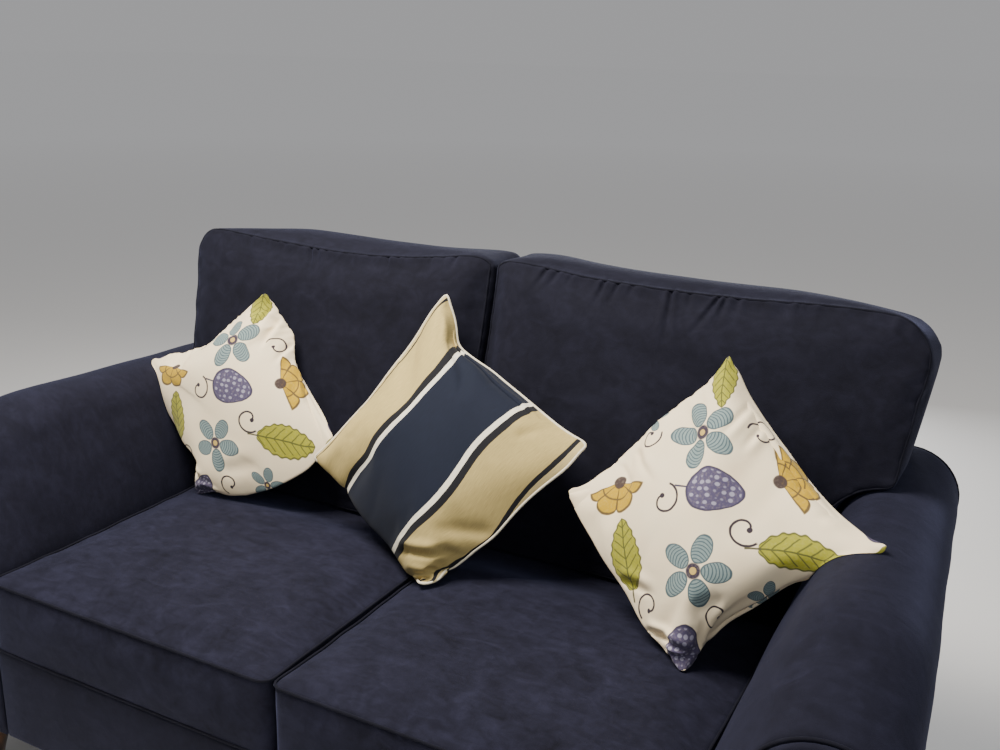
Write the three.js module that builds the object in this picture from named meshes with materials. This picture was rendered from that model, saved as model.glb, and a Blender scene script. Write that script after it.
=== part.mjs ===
// A two-seat sofa with scroll arms, loose seat and back cushions and three scatter cushions.
// Millimetres, +Z up, +X to the sitter's left, +Y to the back.
// The origin is on the floor, in the middle of the width and the depth.
import * as THREE from "three";
import { mergeVertices } from "three/addons/utils/BufferGeometryUtils.js";

// Driving dimensions
const GAP = 0.5; // between pieces that touch
const FRONT_Y = -445;
const BACK_Y = 443;
const FRAME_BOTTOM = 135; // underside of the upholstered frame
const DECK_TOP = 317; // the platform that the seat cushions lie on
const SEAT_TOP = 450; // top seam of a seat cushion
const ARM_IN = 622; // inner face of an arm at the seat
const ARM_OUT = 816; // outer face of an arm, under its roll, at the back
const ROLL = { x: 748, z: 605, r: 88 }; // the arm's rolled top, at the back
const ROLL_DROP = 55; // how far the roll falls at the front
const ARM_FLARE = 32; // how far the roll and the outer face spread outwards at the front
const ROLL_GROWTH = 4; // how much thicker the roll is at the front
const BACK_SLOPE = 0.3; // how far the back leans for each unit of height
const BACK_FOOT_Y = 100; // front face of the back cushions at seat height
const BACK_CUSHION_THICK = 135;
const BACK_CUSHION_TOP = 960;
const BACK_FRAME_TOP = 893;

const COLOURS = {
  velour: { color: 0x1b1d2e, roughness: 0.95, metalness: 0 },
  lining: { color: 0x121214, roughness: 0.95, metalness: 0 },
  wood: { color: 0x4a2c18, roughness: 0.45, metalness: 0 },
  print: { color: 0xe6ddc6, roughness: 0.9, metalness: 0 },
  stripe: { color: 0xcbbd9c, roughness: 0.9, metalness: 0 },
};
const materials = Object.fromEntries(
  Object.entries(COLOURS).map(([name, look]) => [name, new THREE.MeshStandardMaterial(look)]),
);

const sofa = new THREE.Group();

function add(name, geometry, material) {
  const mesh = new THREE.Mesh(geometry, materials[material]);
  mesh.name = name;
  sofa.add(mesh);
  return mesh;
}

// The same piece for both sides: it is shaped on the right, and the left one is its mirror image.
function addPair(name, geometry, material) {
  add(name + "_right", geometry, material);
  add(name + "_left", geometry, material).scale.x = -1;
}

// Joined vertices, with only their places kept
function merged(geometry) {
  geometry.deleteAttribute("normal");
  geometry.deleteAttribute("uv");
  return mergeVertices(geometry, 1e-3);
}

// Moves every vertex by a function of its x, y and z
function reshaped(geometry, move) {
  const place = geometry.getAttribute("position");
  for (let i = 0; i < place.count; i++) {
    place.setXYZ(i, ...move(place.getX(i), place.getY(i), place.getZ(i)));
  }
  return geometry;
}

// A piece with an outline seen from the front and two faces whose y follows the height z
function slab(outline, frontAt, backAt) {
  const solid = new THREE.ExtrudeGeometry(new THREE.Shape(outline), {
    depth: 1,
    bevelEnabled: false,
  });
  solid.rotateX(Math.PI / 2); // the outline stands up, and the depth runs from y = 0 to y = -1
  return reshaped(merged(solid), (x, y, z) => [
    x,
    backAt(z) - (backAt(z) - frontAt(z)) * -y,
    z,
  ]);
}

const flat = (y) => () => y;
const leaning = (y) => (z) => y + (z - SEAT_TOP) * BACK_SLOPE;

const point = (x, z) => new THREE.Vector2(x, z);

function rectangle(x0, x1, z0, z1) {
  return [point(x0, z0), point(x1, z0), point(x1, z1), point(x0, z1)];
}

// Points on a circle from one angle to another, in degrees from +X towards +Z
function arc(x, z, r, from, to, steps) {
  return Array.from({ length: steps + 1 }, (_, i) => {
    const angle = THREE.MathUtils.degToRad(from + ((to - from) * i) / steps);
    return point(x + r * Math.cos(angle), z + r * Math.sin(angle));
  });
}

// The angle on the roll where a straight inner face from (x, z) meets it
function rollShoulder(x, z, roll) {
  const away = Math.hypot(roll.x - x, roll.z - z);
  const rise = Math.atan2(roll.z - z, roll.x - x) + Math.asin(roll.r / away);
  return THREE.MathUtils.radToDeg(rise) + 90;
}

// Section of an arm: foot, outer face, tuck under the roll, the roll itself and the inner face
function armSection(inner, outer, roll) {
  const shoulder = rollShoulder(inner, SEAT_TOP, roll);
  const tuck = -THREE.MathUtils.radToDeg(Math.acos((outer - roll.x) / roll.r));
  return [
    point(inner, FRAME_BOTTOM),
    point(outer, FRAME_BOTTOM),
    ...arc(roll.x, roll.z, roll.r, tuck, shoulder, 14),
    point(inner, SEAT_TOP),
  ];
}

// A closed skin through rings of points that all have the same count, with flat ends
function loft(rings) {
  const count = rings[0].length;
  const places = rings.flat().flatMap((p) => [p.x, p.y, p.z]);
  const faces = [];
  for (let r = 0; r < rings.length - 1; r++) {
    for (let i = 0; i < count; i++) {
      const a = r * count + i;
      const b = r * count + ((i + 1) % count);
      faces.push(a, b + count, b, a, a + count, b + count);
    }
  }
  const outline = rings[0].map((p) => point(p.x, p.z));
  const last = (rings.length - 1) * count;
  for (const [a, b, c] of THREE.ShapeUtils.triangulateShape(outline, [])) {
    faces.push(a, b, c, last + a, last + c, last + b);
  }
  const skin = new THREE.BufferGeometry();
  skin.setAttribute("position", new THREE.Float32BufferAttribute(places, 3));
  return skin.setIndex(faces);
}

// Turned feet
const FOOT = { frontX: 755, frontY: -380, backX: 725, backY: 385, height: 131 };
const FOOT_PROFILE = [
  // radius, height
  [18, 0],
  [24, 30],
  [34, 66],
  [36, 82],
  [31, 98],
  [22, 104],
  [30, 112],
  [32, FOOT.height],
];

function foot() {
  const profile = [[0, 0], ...FOOT_PROFILE, [0, FOOT.height]].map(([r, z]) => point(r, z));
  return merged(new THREE.LatheGeometry(profile, 16).rotateX(Math.PI / 2));
}

for (const [end, x, y] of [
  ["front", FOOT.frontX, FOOT.frontY],
  ["back", FOOT.backX, FOOT.backY],
]) {
  add(`foot_${end}_left`, foot(), "wood").position.set(-x, y, 0);
  add(`foot_${end}_right`, foot(), "wood").position.set(x, y, 0);
}

// Frame: the cloth under it, its rails and the platform for the cushions
const CLOTH = { x: 800, y: 415, thick: 3 };
const RAIL_THICK = 48;
const DECK_THICK = 24;
const FACING_Y = FRONT_Y + 18; // back of the front panels of the arms
const OUTSIDE_BACK_THICK = 12;
const FRAME_BACK = BACK_Y - OUTSIDE_BACK_THICK - GAP;

add(
  "bottom_cloth",
  slab(
    rectangle(-CLOTH.x, CLOTH.x, FRAME_BOTTOM - GAP - CLOTH.thick, FRAME_BOTTOM - GAP),
    flat(-CLOTH.y),
    flat(CLOTH.y),
  ),
  "lining",
);
const RAIL_FRONT = FRONT_Y + 6;
const RAIL_BACK = RAIL_FRONT + RAIL_THICK;
const RAIL_X = ARM_IN - GAP;
add(
  "front_rail",
  slab(rectangle(-RAIL_X, RAIL_X, FRAME_BOTTOM, DECK_TOP), flat(RAIL_FRONT), flat(RAIL_BACK)),
  "velour",
);
add(
  "back_rail",
  slab(
    rectangle(-RAIL_X, RAIL_X, FRAME_BOTTOM, DECK_TOP - DECK_THICK - GAP),
    flat(FRAME_BACK - RAIL_THICK),
    flat(FRAME_BACK),
  ),
  "velour",
);
add(
  "seat_deck",
  slab(
    rectangle(-RAIL_X, RAIL_X, DECK_TOP - DECK_THICK, DECK_TOP),
    flat(RAIL_BACK + GAP),
    flat(FRAME_BACK),
  ),
  "lining",
);

// Arms: the padded arm with its roll, which falls and spreads outwards towards the front
const ARM_STATIONS = [
  // y, share of the front drop
  [FACING_Y + GAP, 1],
  [-400, 0.9],
  [-360, 0.64],
  [-310, 0.32],
  [-255, 0.08],
  [-200, 0],
  [FRAME_BACK, 0],
];
const flare = (y) => (FRAME_BACK - y) / (FRAME_BACK - FRONT_Y);
const outerAt = (y) => ARM_OUT + ARM_FLARE * flare(y);
const rollAt = (y, share) => ({
  x: ROLL.x + ARM_FLARE * flare(y),
  z: ROLL.z - ROLL_DROP * share,
  r: ROLL.r + ROLL_GROWTH * flare(y),
});

function alongArm(sectionFor) {
  return loft(
    ARM_STATIONS.map(([y, share]) =>
      sectionFor(outerAt(y), rollAt(y, share)).map((p) => new THREE.Vector3(p.x, y, p.y)),
    ),
  );
}

addPair("arm", alongArm((outer, roll) => armSection(ARM_IN, outer, roll)), "velour");

addPair(
  "arm_facing",
  slab(
    armSection(ARM_IN + 2, outerAt(FRONT_Y) + 8, rollAt(FRONT_Y, 1)),
    flat(FRONT_Y + 2),
    flat(FACING_Y),
  ),
  "velour",
);

const PANEL = { thick: 17, belowRoll: 70 }; // the outside panel ends this far below the roll's centre
addPair(
  "outside_arm",
  alongArm((outer, roll) =>
    rectangle(
      outer + GAP,
      outer + GAP + PANEL.thick,
      FRAME_BOTTOM,
      roll.z - PANEL.belowRoll,
    ),
  ),
  "velour",
);

// Back: an outline that follows the arm upwards and then reaches out over it
function overArm(bottom, top, reach, corner, gap) {
  const clear = { ...ROLL, r: ROLL.r + gap };
  const inner = ARM_IN - gap;
  return [
    point(inner, bottom),
    point(inner, SEAT_TOP),
    ...arc(ROLL.x, ROLL.z, clear.r, rollShoulder(inner, SEAT_TOP, clear), 90, 8),
    point(reach, ROLL.z + clear.r),
    ...arc(reach - corner, top - corner, corner, 0, 90, 6),
  ];
}
const mirrored = (outline) => outline.map((p) => point(-p.x, p.y)).reverse();

const BACK_FRAME_REACH = 736;
const backFrameHalf = overArm(DECK_TOP + GAP, BACK_FRAME_TOP, BACK_FRAME_REACH, 60, 1.5);
const backFrontY = BACK_FOOT_Y + BACK_CUSHION_THICK + 1.5;
add(
  "back_frame",
  slab([...backFrameHalf, ...mirrored(backFrameHalf)], leaning(backFrontY), flat(FRAME_BACK)),
  "velour",
);
const outsideBackHalf = [
  point(ARM_OUT + 6, FRAME_BOTTOM),
  ...arc(ROLL.x, ROLL.z, ROLL.r - 2, -40, 80, 8),
  ...arc(BACK_FRAME_REACH - 60, BACK_FRAME_TOP - 60, 60, 0, 90, 6),
];
add(
  "outside_back",
  slab(
    [...outsideBackHalf, ...mirrored(outsideBackHalf)],
    flat(BACK_Y - OUTSIDE_BACK_THICK),
    flat(BACK_Y),
  ),
  "velour",
);

const BACK_CUSHION_REACH = 768;
const backCushionHalf = [
  point(1, SEAT_TOP + 2),
  ...overArm(SEAT_TOP + 2, BACK_CUSHION_TOP, BACK_CUSHION_REACH, 80, 4).slice(2),
  point(1, BACK_CUSHION_TOP),
];
// The ears narrow towards the arms
for (const p of backCushionHalf) {
  if (p.x > BACK_CUSHION_REACH - 1 && p.y < BACK_CUSHION_TOP - 100) p.x -= 18;
}
addPair(
  "back_cushion",
  slab(backCushionHalf, leaning(BACK_FOOT_Y), leaning(BACK_FOOT_Y + BACK_CUSHION_THICK)),
  "velour",
);

// Seat cushions: boxes whose tops rise to a crown in front of the back cushions
const SEAT = { x0: 1, x1: ARM_IN - 3, y0: FRONT_Y, y1: 195, crown: 22, crownEnd: 75 };

function seatCushion() {
  const width = SEAT.x1 - SEAT.x0;
  const depth = SEAT.y1 - SEAT.y0;
  const height = SEAT_TOP - DECK_TOP - GAP;
  const box = new THREE.BoxGeometry(width, depth, height, 8, 8, 1);
  box.translate(SEAT.x0 + width / 2, SEAT.y0 + depth / 2, DECK_TOP + GAP + height / 2);
  const crownDepth = SEAT.crownEnd - SEAT.y0;
  return reshaped(merged(box), (x, y, z) => {
    const across = Math.sin((Math.PI * (x - SEAT.x0)) / width);
    const along = y < SEAT.crownEnd ? Math.sin((Math.PI * (y - SEAT.y0)) / crownDepth) : 0;
    return [x, y, z > SEAT_TOP - 1 ? z + SEAT.crown * across * along : z];
  });
}
addPair("seat_cushion", seatCushion(), "velour");

// Scatter cushions: squares standing on one corner, fat in the middle and thin at the seams
const PILLOW_STEPS = 10;
const PILLOW_SEAM = 3; // half the thickness at the seam
const PILLOW_BOW = 0.07; // how far a side curves in, as a share of its half length

function pillow({ size, thick, tuck, liftLeft, liftRight }) {
  const flatBox = new THREE.BoxGeometry(2, 2, 2, PILLOW_STEPS, 1, PILLOW_STEPS);
  const half = size / 2;
  return reshaped(merged(flatBox), (u, side, v) => {
    const puff = Math.sqrt(Math.max(0, (1 - u * u) * (1 - v * v)));
    let x = half * u * (1 - PILLOW_BOW * (1 - v * v));
    let z = half * v * (1 - PILLOW_BOW * (1 - u * u));
    const down = (x - z) / Math.SQRT2; // distance towards the corner it stands on
    const right = (x + z) / Math.SQRT2; // distance towards the corner on the right
    const lifted =
      Math.max(0, down - size * 0.25) * tuck +
      Math.max(0, -right - size * 0.25) * liftLeft +
      Math.max(0, right - size * 0.25) * liftRight;
    x -= lifted / Math.SQRT2;
    z += lifted / Math.SQRT2;
    return [x, side * (PILLOW_SEAM + (thick / 2 - PILLOW_SEAM) * puff), z];
  });
}

const CORNER_DOWN = 45;
const SCATTER = [
  // place of the middle, then degrees turned about the upright, leant back and spun in its own plane,
  // and the shares by which the corners below, on the left and on the right are pushed up
  {
    name: "left", look: "print", size: 350, thick: 105,
    at: [-501, 65, 642], turn: 1.5, lean: 20, spin: 10.5,
    tuck: 0.36, liftLeft: 0.34, liftRight: 0,
  },
  {
    name: "centre", look: "stripe", size: 400, thick: 112,
    at: [-6, 52, 672], turn: -3.5, lean: 29, spin: -13.5,
    tuck: 0.2, liftLeft: -0.1, liftRight: 0,
  },
  {
    name: "right", look: "print", size: 355, thick: 105,
    at: [500, 24, 675], turn: -4, lean: 29, spin: -6.5,
    tuck: 0.1, liftLeft: 0, liftRight: 0.2,
  },
];
for (const { name, look, at, turn, lean, spin, ...shape } of SCATTER) {
  const cushion = add("scatter_" + name, pillow(shape), look);
  cushion.position.set(...at);
  const degrees = [-lean, CORNER_DOWN + spin, turn].map(THREE.MathUtils.degToRad);
  cushion.rotation.set(...degrees, "ZXY");
}

export default sofa;
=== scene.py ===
# %% [markdown]
# # A two-seat sofa with scroll arms
# The sofa stands in a shared frame in metres: X runs along its width, Y from its front to its back and
# Z up, and the origin is on the floor below its middle. The solids come in first. They settle where
# everything is, and each upholstered one is then replaced by a softer piece that stays in its place.

import math

import bmesh
import bpy
import numpy as np
from mathutils import Matrix, Vector, noise
from mathutils.bvhtree import BVHTree


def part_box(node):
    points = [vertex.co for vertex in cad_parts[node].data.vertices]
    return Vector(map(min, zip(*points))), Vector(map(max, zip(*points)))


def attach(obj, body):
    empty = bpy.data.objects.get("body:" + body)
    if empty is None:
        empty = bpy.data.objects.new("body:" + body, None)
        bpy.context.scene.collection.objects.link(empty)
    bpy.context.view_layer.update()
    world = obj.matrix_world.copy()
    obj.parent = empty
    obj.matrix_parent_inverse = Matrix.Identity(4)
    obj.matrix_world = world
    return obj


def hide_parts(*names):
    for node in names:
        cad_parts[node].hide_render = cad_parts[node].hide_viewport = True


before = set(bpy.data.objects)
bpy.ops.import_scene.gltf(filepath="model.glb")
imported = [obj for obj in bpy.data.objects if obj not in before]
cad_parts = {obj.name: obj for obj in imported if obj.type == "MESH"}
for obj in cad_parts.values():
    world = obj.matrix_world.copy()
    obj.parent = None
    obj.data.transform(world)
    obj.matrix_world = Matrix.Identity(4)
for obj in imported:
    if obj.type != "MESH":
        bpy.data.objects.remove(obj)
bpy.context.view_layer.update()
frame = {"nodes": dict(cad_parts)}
nodes = frame["nodes"]
print("nodes in the frame:", len(nodes))

# %% [markdown]
# ## The camera
# The camera stands in front of the sofa's right arm, a little above sitting height, and looks left and
# down. Its place, angles and lens were worked out from straight edges, so it is set by numbers and not by
# aiming it at a target. The three turns are made one after the other: tilt, then pan, and roll about the
# line of sight first of all.

# %% Camera
CAMERA_PLACE = (0.938, -1.5095, 1.3637)
PAN = math.radians(27.851)
LOOK_DOWN = math.radians(17.186)
ROLL = math.radians(1.434)
FOCAL_LENGTH = 38.88  # mm, on a sensor 36 mm wide


def in_scene(name, data):
    """A new object with this data, linked to the scene."""
    piece = bpy.data.objects.new(name, data)
    bpy.context.scene.collection.objects.link(piece)
    return piece


camera = in_scene("camera", bpy.data.cameras.new("camera"))
camera.data.lens = FOCAL_LENGTH
camera.data.sensor_width = 36
camera.matrix_world = (
    Matrix.Translation(CAMERA_PLACE)
    @ Matrix.Rotation(PAN, 4, "Z")
    @ Matrix.Rotation(math.pi / 2 - LOOK_DOWN, 4, "X")
    @ Matrix.Rotation(ROLL, 4, "Z")
)
bpy.context.scene.camera = camera
print("camera at", CAMERA_PLACE)

# %% [markdown]
# ## Materials from nodes
# Each finish is a small network of nodes. Written node by node it is long and hard to read, so two helpers
# stand in front of it. One adds a node, sets its values and joins its inputs. The other holds what a node
# works out, so that sums and products can be written as in a formula: each sign in it adds the Math node
# that it stands for. A value that is the same all over is set on the shader's own socket.

# %% Node helpers
def sign(operation, swapped=False):
    """What a sign in a formula does: it adds the Math node for this operation."""
    def new_number(self, other):
        return self.nodes.math(operation, *((other, self) if swapped else (self, other)))
    return new_number


class Number:
    """What a node works out at each point, for use in a formula."""

    def __init__(self, nodes, socket):
        self.nodes, self.socket = nodes, socket

    def __abs__(self):
        return self.nodes.math("ABSOLUTE", self)

    __add__ = sign("ADD")
    __sub__ = sign("SUBTRACT")
    __rsub__ = sign("SUBTRACT", swapped=True)
    __mul__ = sign("MULTIPLY")
    __truediv__ = sign("DIVIDE")
    __pow__ = sign("POWER")


class Nodes:
    """A node tree under construction."""

    def __init__(self, tree):
        self.tree = tree

    def add(self, kind, inputs=(), **settings):
        node = self.tree.nodes.new("ShaderNode" + kind)
        for key, value in settings.items():
            setattr(node, key, value)
        for key, value in dict(inputs).items():
            self.put(node.inputs[key], value)
        return node

    def put(self, socket, value):
        if isinstance(value, Number):
            value = value.socket
        elif isinstance(value, bpy.types.Node):
            value = value.outputs[0]
        if isinstance(value, bpy.types.NodeSocket):
            self.tree.links.new(value, socket)
        else:
            socket.default_value = value

    def number(self, kind, inputs=(), **settings):
        return Number(self, self.add(kind, inputs, **settings).outputs[0])

    def math(self, operation, *values):
        return self.number("Math", dict(enumerate(values)), operation=operation)

    def noise(self, where, scale, detail=2.0, roughness=0.5, distortion=0.0):
        return self.number("TexNoise", {
            "Vector": where, "Scale": scale, "Detail": detail,
            "Roughness": roughness, "Distortion": distortion,
        })

    def weave(self, where, threads):
        """The height of a plain weave: warp one way, weft the other."""
        warp, weft = (self.number("TexWave", {"Vector": where, "Scale": threads}, bands_direction=way)
                      for way in "XY")
        return warp * weft

    def mix(self, share, first, second, blend="MIX"):
        node = self.add("Mix", {0: share, 6: first, 7: second}, data_type="RGBA", blend_type=blend)
        return node.outputs[2]

    def ramp(self, value, *stops, interpolation="LINEAR"):
        node = self.add("ValToRGB", {0: value})
        node.color_ramp.interpolation = interpolation
        elements = node.color_ramp.elements
        for element, (place, colour) in zip(elements, (stops[0], stops[-1])):
            element.position = place
            element.color = colour
        for place, colour in stops[1:-1]:
            elements.new(place).color = colour
        return node.outputs[0]


class Finish(Nodes):
    """A material under construction."""

    def __init__(self, name, roughness, **sockets):
        self.material = bpy.data.materials.new(name)
        self.material.use_nodes = True
        super().__init__(self.material.node_tree)
        self.shader = self.tree.nodes["Principled BSDF"]
        for socket, value in {"Roughness": roughness, **sockets}.items():
            self.shader.inputs[socket.replace("_", " ")].default_value = value

    def bump(self, *layers):
        """Layers of (height, strength, distance), each laid over the one before."""
        last = None
        for height, strength, distance in layers:
            node = self.add("Bump", {"Height": height, "Strength": strength, "Distance": distance})
            if last:
                self.put(node.inputs["Normal"], last)
            last = node
        self.put(self.shader.inputs["Normal"], last)

    def colour(self, value):
        self.put(self.shader.inputs["Base Color"], value)

    def place(self):
        return self.add("TexCoord").outputs["Object"]


print("node helpers ready")

# %% [markdown]
# ## Floor and light
# A pale floor runs to the horizon under a pale sky, so the navy cloth stands out from all sides. Far away
# the floor's colour turns into the sky's, so no line shows where they meet. One large lamp above the seat
# gives the soft shading that shows the cushions' shape, a weak one from the side opens the shadows, and one
# behind the sofa lights its back.

# %% Floor
FLOOR_SIZE = 120.0
FLOOR_FADE = (2.0, 14.0)  # metres from the middle where the floor starts and ends to turn pale
FLOOR_NEAR, FLOOR_FAR = (0.80, 0.79, 0.77, 1), (0.985, 0.985, 0.985, 1)


def primitive(name, adder, **settings):
    """A new primitive, with its place in its mesh. Nothing else stays selected."""
    bpy.ops.object.select_all(action="DESELECT")
    adder(**settings)
    piece = bpy.context.object
    piece.name = name
    bpy.ops.object.transform_apply(location=True, rotation=True, scale=True)
    return piece


def pale_floor():
    finish = Finish("pale_floor", 0.95, Specular_IOR_Level=0.0)
    distance = finish.add("VectorMath", {0: finish.place()}, operation="LENGTH").outputs["Value"]
    start, end = FLOOR_FADE
    fade = finish.add("MapRange", {"Value": distance, "From Min": start, "From Max": end})
    finish.colour(finish.mix(fade, FLOOR_NEAR, FLOOR_FAR))
    return finish.material


floor = primitive("floor", bpy.ops.mesh.primitive_plane_add, size=FLOOR_SIZE)
floor.data.materials.append(pale_floor())
print("floor:", FLOOR_SIZE, "m wide")

# %% Sky and lamps
SKY_COLOUR, SKY_STRENGTH = (0.87, 0.87, 0.89, 1), 0.43
LAMPS = [
    # name, place, size, watts, colour
    ("key_lamp", (-0.48, -0.50, 2.55), 0.9, 104, (1.0, 0.94, 0.86)),
    ("fill_lamp", (2.1, -1.5, 2.1), 1.4, 15, (0.92, 0.95, 1.0)),
    ("back_lamp", (-0.5, 2.6, 0.95), 1.2, 40, (0.95, 0.97, 1.0)),
]
AIM = Vector((0.1, 0.0, 0.55))

sky = bpy.data.worlds.new("sky")
sky.use_nodes = True
sky_light = sky.node_tree.nodes["Background"].inputs
sky_light["Color"].default_value = SKY_COLOUR
sky_light["Strength"].default_value = SKY_STRENGTH
bpy.context.scene.world = sky

for name, place, size, watts, colour in LAMPS:
    lamp = in_scene(name, bpy.data.lights.new(name, "AREA"))
    lamp.data.size = size
    lamp.data.energy = watts
    lamp.data.color = colour
    lamp.location = place
    lamp.visible_camera = False
    lamp.rotation_euler = (AIM - Vector(place)).to_track_quat("-Z", "Y").to_euler()
print("lamps:", len(LAMPS))

# %% [markdown]
# ## Navy velour
# The sofa's cover is a cut-pile velour in dark navy. Where a hand has brushed the pile it lies another way
# and reads lighter or darker, in soft patches a few centimetres wide. Three noises of different size make
# those patches, a very fine one the pile itself, and a little sheen lights the pile where it is seen edge
# on. The seats are sat on, so their pile is brushed most, and the upright cushions' pile lies almost evenly.
# The upright cushions' velour is also a darker copy of the same cloth: painted shade, because their faces
# turn forwards, away from light that falls from above. The piping's velour is darker still: painted shade
# of the recess along each seam.

# %% Velour
VELOURS = [
    # name, dark and light side of the pile, sheen
    ("velour_navy", (0.0054, 0.0055, 0.0116, 1), (0.0132, 0.0135, 0.0272, 1), 0.17),
    ("velour_sat_on", (0.0042, 0.0042, 0.0092, 1), (0.0172, 0.0175, 0.0352, 1), 0.18),
    # darker copy for the back cushions: painted shade of their forward faces under light from above
    ("velour_upright_painted_shade", (0.0046, 0.0046, 0.0092, 1), (0.0118, 0.0119, 0.0226, 1), 0.14),
    # darker copy for all piping: painted shade of the recess along each seam
    ("velour_piping_painted_shade", (0.0030, 0.0031, 0.0064, 1), (0.0086, 0.0088, 0.0170, 1), 0.10),
]
SHEEN_BLUE = (0.30, 0.34, 0.66, 1)


def velour(name, dark, light, sheen):
    finish = Finish(name, 0.9, Sheen_Weight=sheen, Sheen_Roughness=0.38, Sheen_Tint=SHEEN_BLUE,
                    Specular_IOR_Level=0.16)
    where = finish.place()
    broad = finish.noise(where, 8.0, 3.0, 0.55, 1.1)
    small = finish.noise(where, 38.0, 4.0, 0.62, 0.8)
    stroke = finish.add("Mapping", {"Vector": where, "Scale": (1.0, 2.6, 1.3), "Rotation": (0, 0, 0.5)})
    brushed = finish.noise(stroke, 15.0, 3.0, 0.55, 1.8)
    fibre = finish.noise(where, 900.0, 2.0, 0.6)
    nap = small * 0.36 + broad * 0.32 + brushed * 0.32 + (fibre - 0.5) * 0.17
    middle = [(a + b) / 2.15 for a, b in zip(dark, light)]
    finish.colour(finish.ramp(nap, (0.33, dark), (0.5, middle), (0.67, light)))
    finish.bump((nap, 0.22, 0.004), (fibre, 0.35, 0.0009))
    return finish.material


VELOUR, VELOUR_SAT_ON, VELOUR_UPRIGHT_PAINTED_SHADE, VELOUR_PIPING_PAINTED_SHADE = [velour(*row) for row in VELOURS]
print("velours:", len(VELOURS))

# %% [markdown]
# ## Lining, wood and small metal
# The platform under the seat cushions and the cloth under the frame are a thin black lining with a plain
# weave. The feet are turned from a close-grained wood, stained dark: stretched noise across the grain and
# narrow bands along it, under a satin lacquer. Staples and glides are plain small parts.

# %% Lining, wood, staple and glide
def lining():
    finish = Finish("lining_black", 0.92, Specular_IOR_Level=0.2)
    where = finish.place()
    weave = finish.weave(where, 420.0)
    tone = weave * 0.3 + finish.noise(where, 7.0, 4.0, 0.6)
    finish.colour(finish.ramp(tone, (0.3, (0.006, 0.006, 0.007, 1)), (0.9, (0.022, 0.022, 0.024, 1))))
    finish.bump((weave, 0.35, 0.0006))
    return finish.material


def stained_wood():
    finish = Finish("wood_dark_stained", 0.34, Coat_Weight=0.45, Coat_Roughness=0.16)
    along = finish.add("Mapping", {"Vector": finish.place(), "Scale": (1.0, 1.0, 0.10)})
    grain = finish.noise(along, 120.0, 5.0, 0.65, 0.4)
    bands = finish.number("TexWave", {"Vector": along, "Scale": 22.0, "Distortion": 5.0, "Detail": 3.0},
                          bands_direction="X")
    pores = finish.noise(along, 620.0, 2.0, 0.5)
    finish.colour(finish.ramp(
        bands * 0.35 + grain * 0.75, (0.25, (0.020, 0.0085, 0.004, 1)), (0.5, (0.060, 0.026, 0.011, 1)),
        (0.8, (0.125, 0.058, 0.024, 1)),
    ))
    finish.bump((grain, 0.10, 0.001), (pores, 0.12, 0.0003))
    return finish.material


def scratched(name, base, roughness, metallic):
    finish = Finish(name, roughness, Metallic=metallic)
    marks = finish.noise(finish.place(), 300.0, 4.0, 0.7)
    low = [c * 0.75 for c in base[:3]] + [1]
    finish.colour(finish.ramp(marks, (0.3, low), (0.7, base)))
    finish.bump((marks, 0.15, 0.0003))
    return finish.material


LINING = lining()
WOOD = stained_wood()
STAPLE = scratched("staple_steel", (0.45, 0.45, 0.46, 1), 0.35, 1.0)
GLIDE = scratched("glide_nylon", (0.055, 0.055, 0.058, 1), 0.45, 0.0)
print("lining, wood, staple and glide made")

# %% [markdown]
# ## Turned feet
# Four short feet carry the frame. Each is turned on a lathe: a plain round tapers up from the floor,
# swells into a bulb, and a narrow neck and a collar meet the frame. It could be a profile spun about an
# axis. Here a cylinder's top is extruded and resized ring by ring, which is the same thing done by hand
# and keeps every ring where a turner would cut it. A nylon glide is nailed under each one.

# %% Feet and glides
FOOT_RINGS = [
    # radius, height
    (0.0165, 0.0100), (0.0180, 0.0105), (0.0205, 0.015), (0.0240, 0.030), (0.0292, 0.048), (0.0338, 0.064),
    (0.0358, 0.074), (0.0362, 0.082), (0.0345, 0.091), (0.0312, 0.098), (0.0262, 0.1012),
    (0.0228, 0.1035), (0.0222, 0.1060), (0.0236, 0.1085), (0.0282, 0.1100), (0.0298, 0.1125),
    (0.0300, 0.1160), (0.0318, 0.1180), (0.0322, 0.1290), (0.0315, 0.1306),
]
GLIDE_HEIGHT = 0.004
GLIDE_RADIUS = 0.0145
GLIDE_INTO_FOOT = 0.0006
FOOT_SIDES, GLIDE_SIDES = 40, 28
made = []


def dressed(piece, material, stands_for=()):
    """Finishes a piece: its material, the body that it rides on and what it replaces."""
    piece.data.materials.clear()
    piece.data.materials.append(material)
    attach(piece, "root")
    if stands_for:
        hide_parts(*stands_for)
    made.append(piece.name)


def select_faces(mesh, wanted):
    """Selects only the faces whose centre and normal pass the test, in edit mode's own mesh."""
    editing = bmesh.from_edit_mesh(mesh)
    for face in editing.faces:
        face.select_set(bool(wanted(face.calc_center_median(), face.normal)))
    editing.select_flush_mode()
    bmesh.update_edit_mesh(mesh)


def out_of_edit_mode(sharp_from):
    """Leaves edit mode and smooths all edges that bend less than an angle in degrees."""
    bpy.ops.object.mode_set(mode="OBJECT")
    bpy.ops.object.shade_smooth_by_angle(angle=math.radians(sharp_from))


def cylinder(name, sides, radius, bottom, top, x, y):
    return primitive(name, bpy.ops.mesh.primitive_cylinder_add, vertices=sides, radius=radius,
                     depth=top - bottom, location=(x, y, (top + bottom) / 2))


def turned_foot(name, x, y):
    radius, height = FOOT_RINGS[0]
    foot = cylinder(name, FOOT_SIDES, radius, GLIDE_HEIGHT, height, x, y)
    bpy.ops.object.mode_set(mode="EDIT")
    bpy.ops.mesh.select_mode(type="FACE")
    for next_radius, next_height in FOOT_RINGS[1:]:
        select_faces(foot.data, lambda c, n: n.z > 0.9 and abs(c.z - height) < 1e-5)
        bpy.ops.mesh.extrude_region_move(TRANSFORM_OT_translate={"value": (0, 0, next_height - height)})
        share = next_radius / radius
        bpy.ops.transform.resize(value=(share, share, 1), center_override=(x, y, next_height))
        radius, height = next_radius, next_height
    out_of_edit_mode(38)
    return foot


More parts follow.
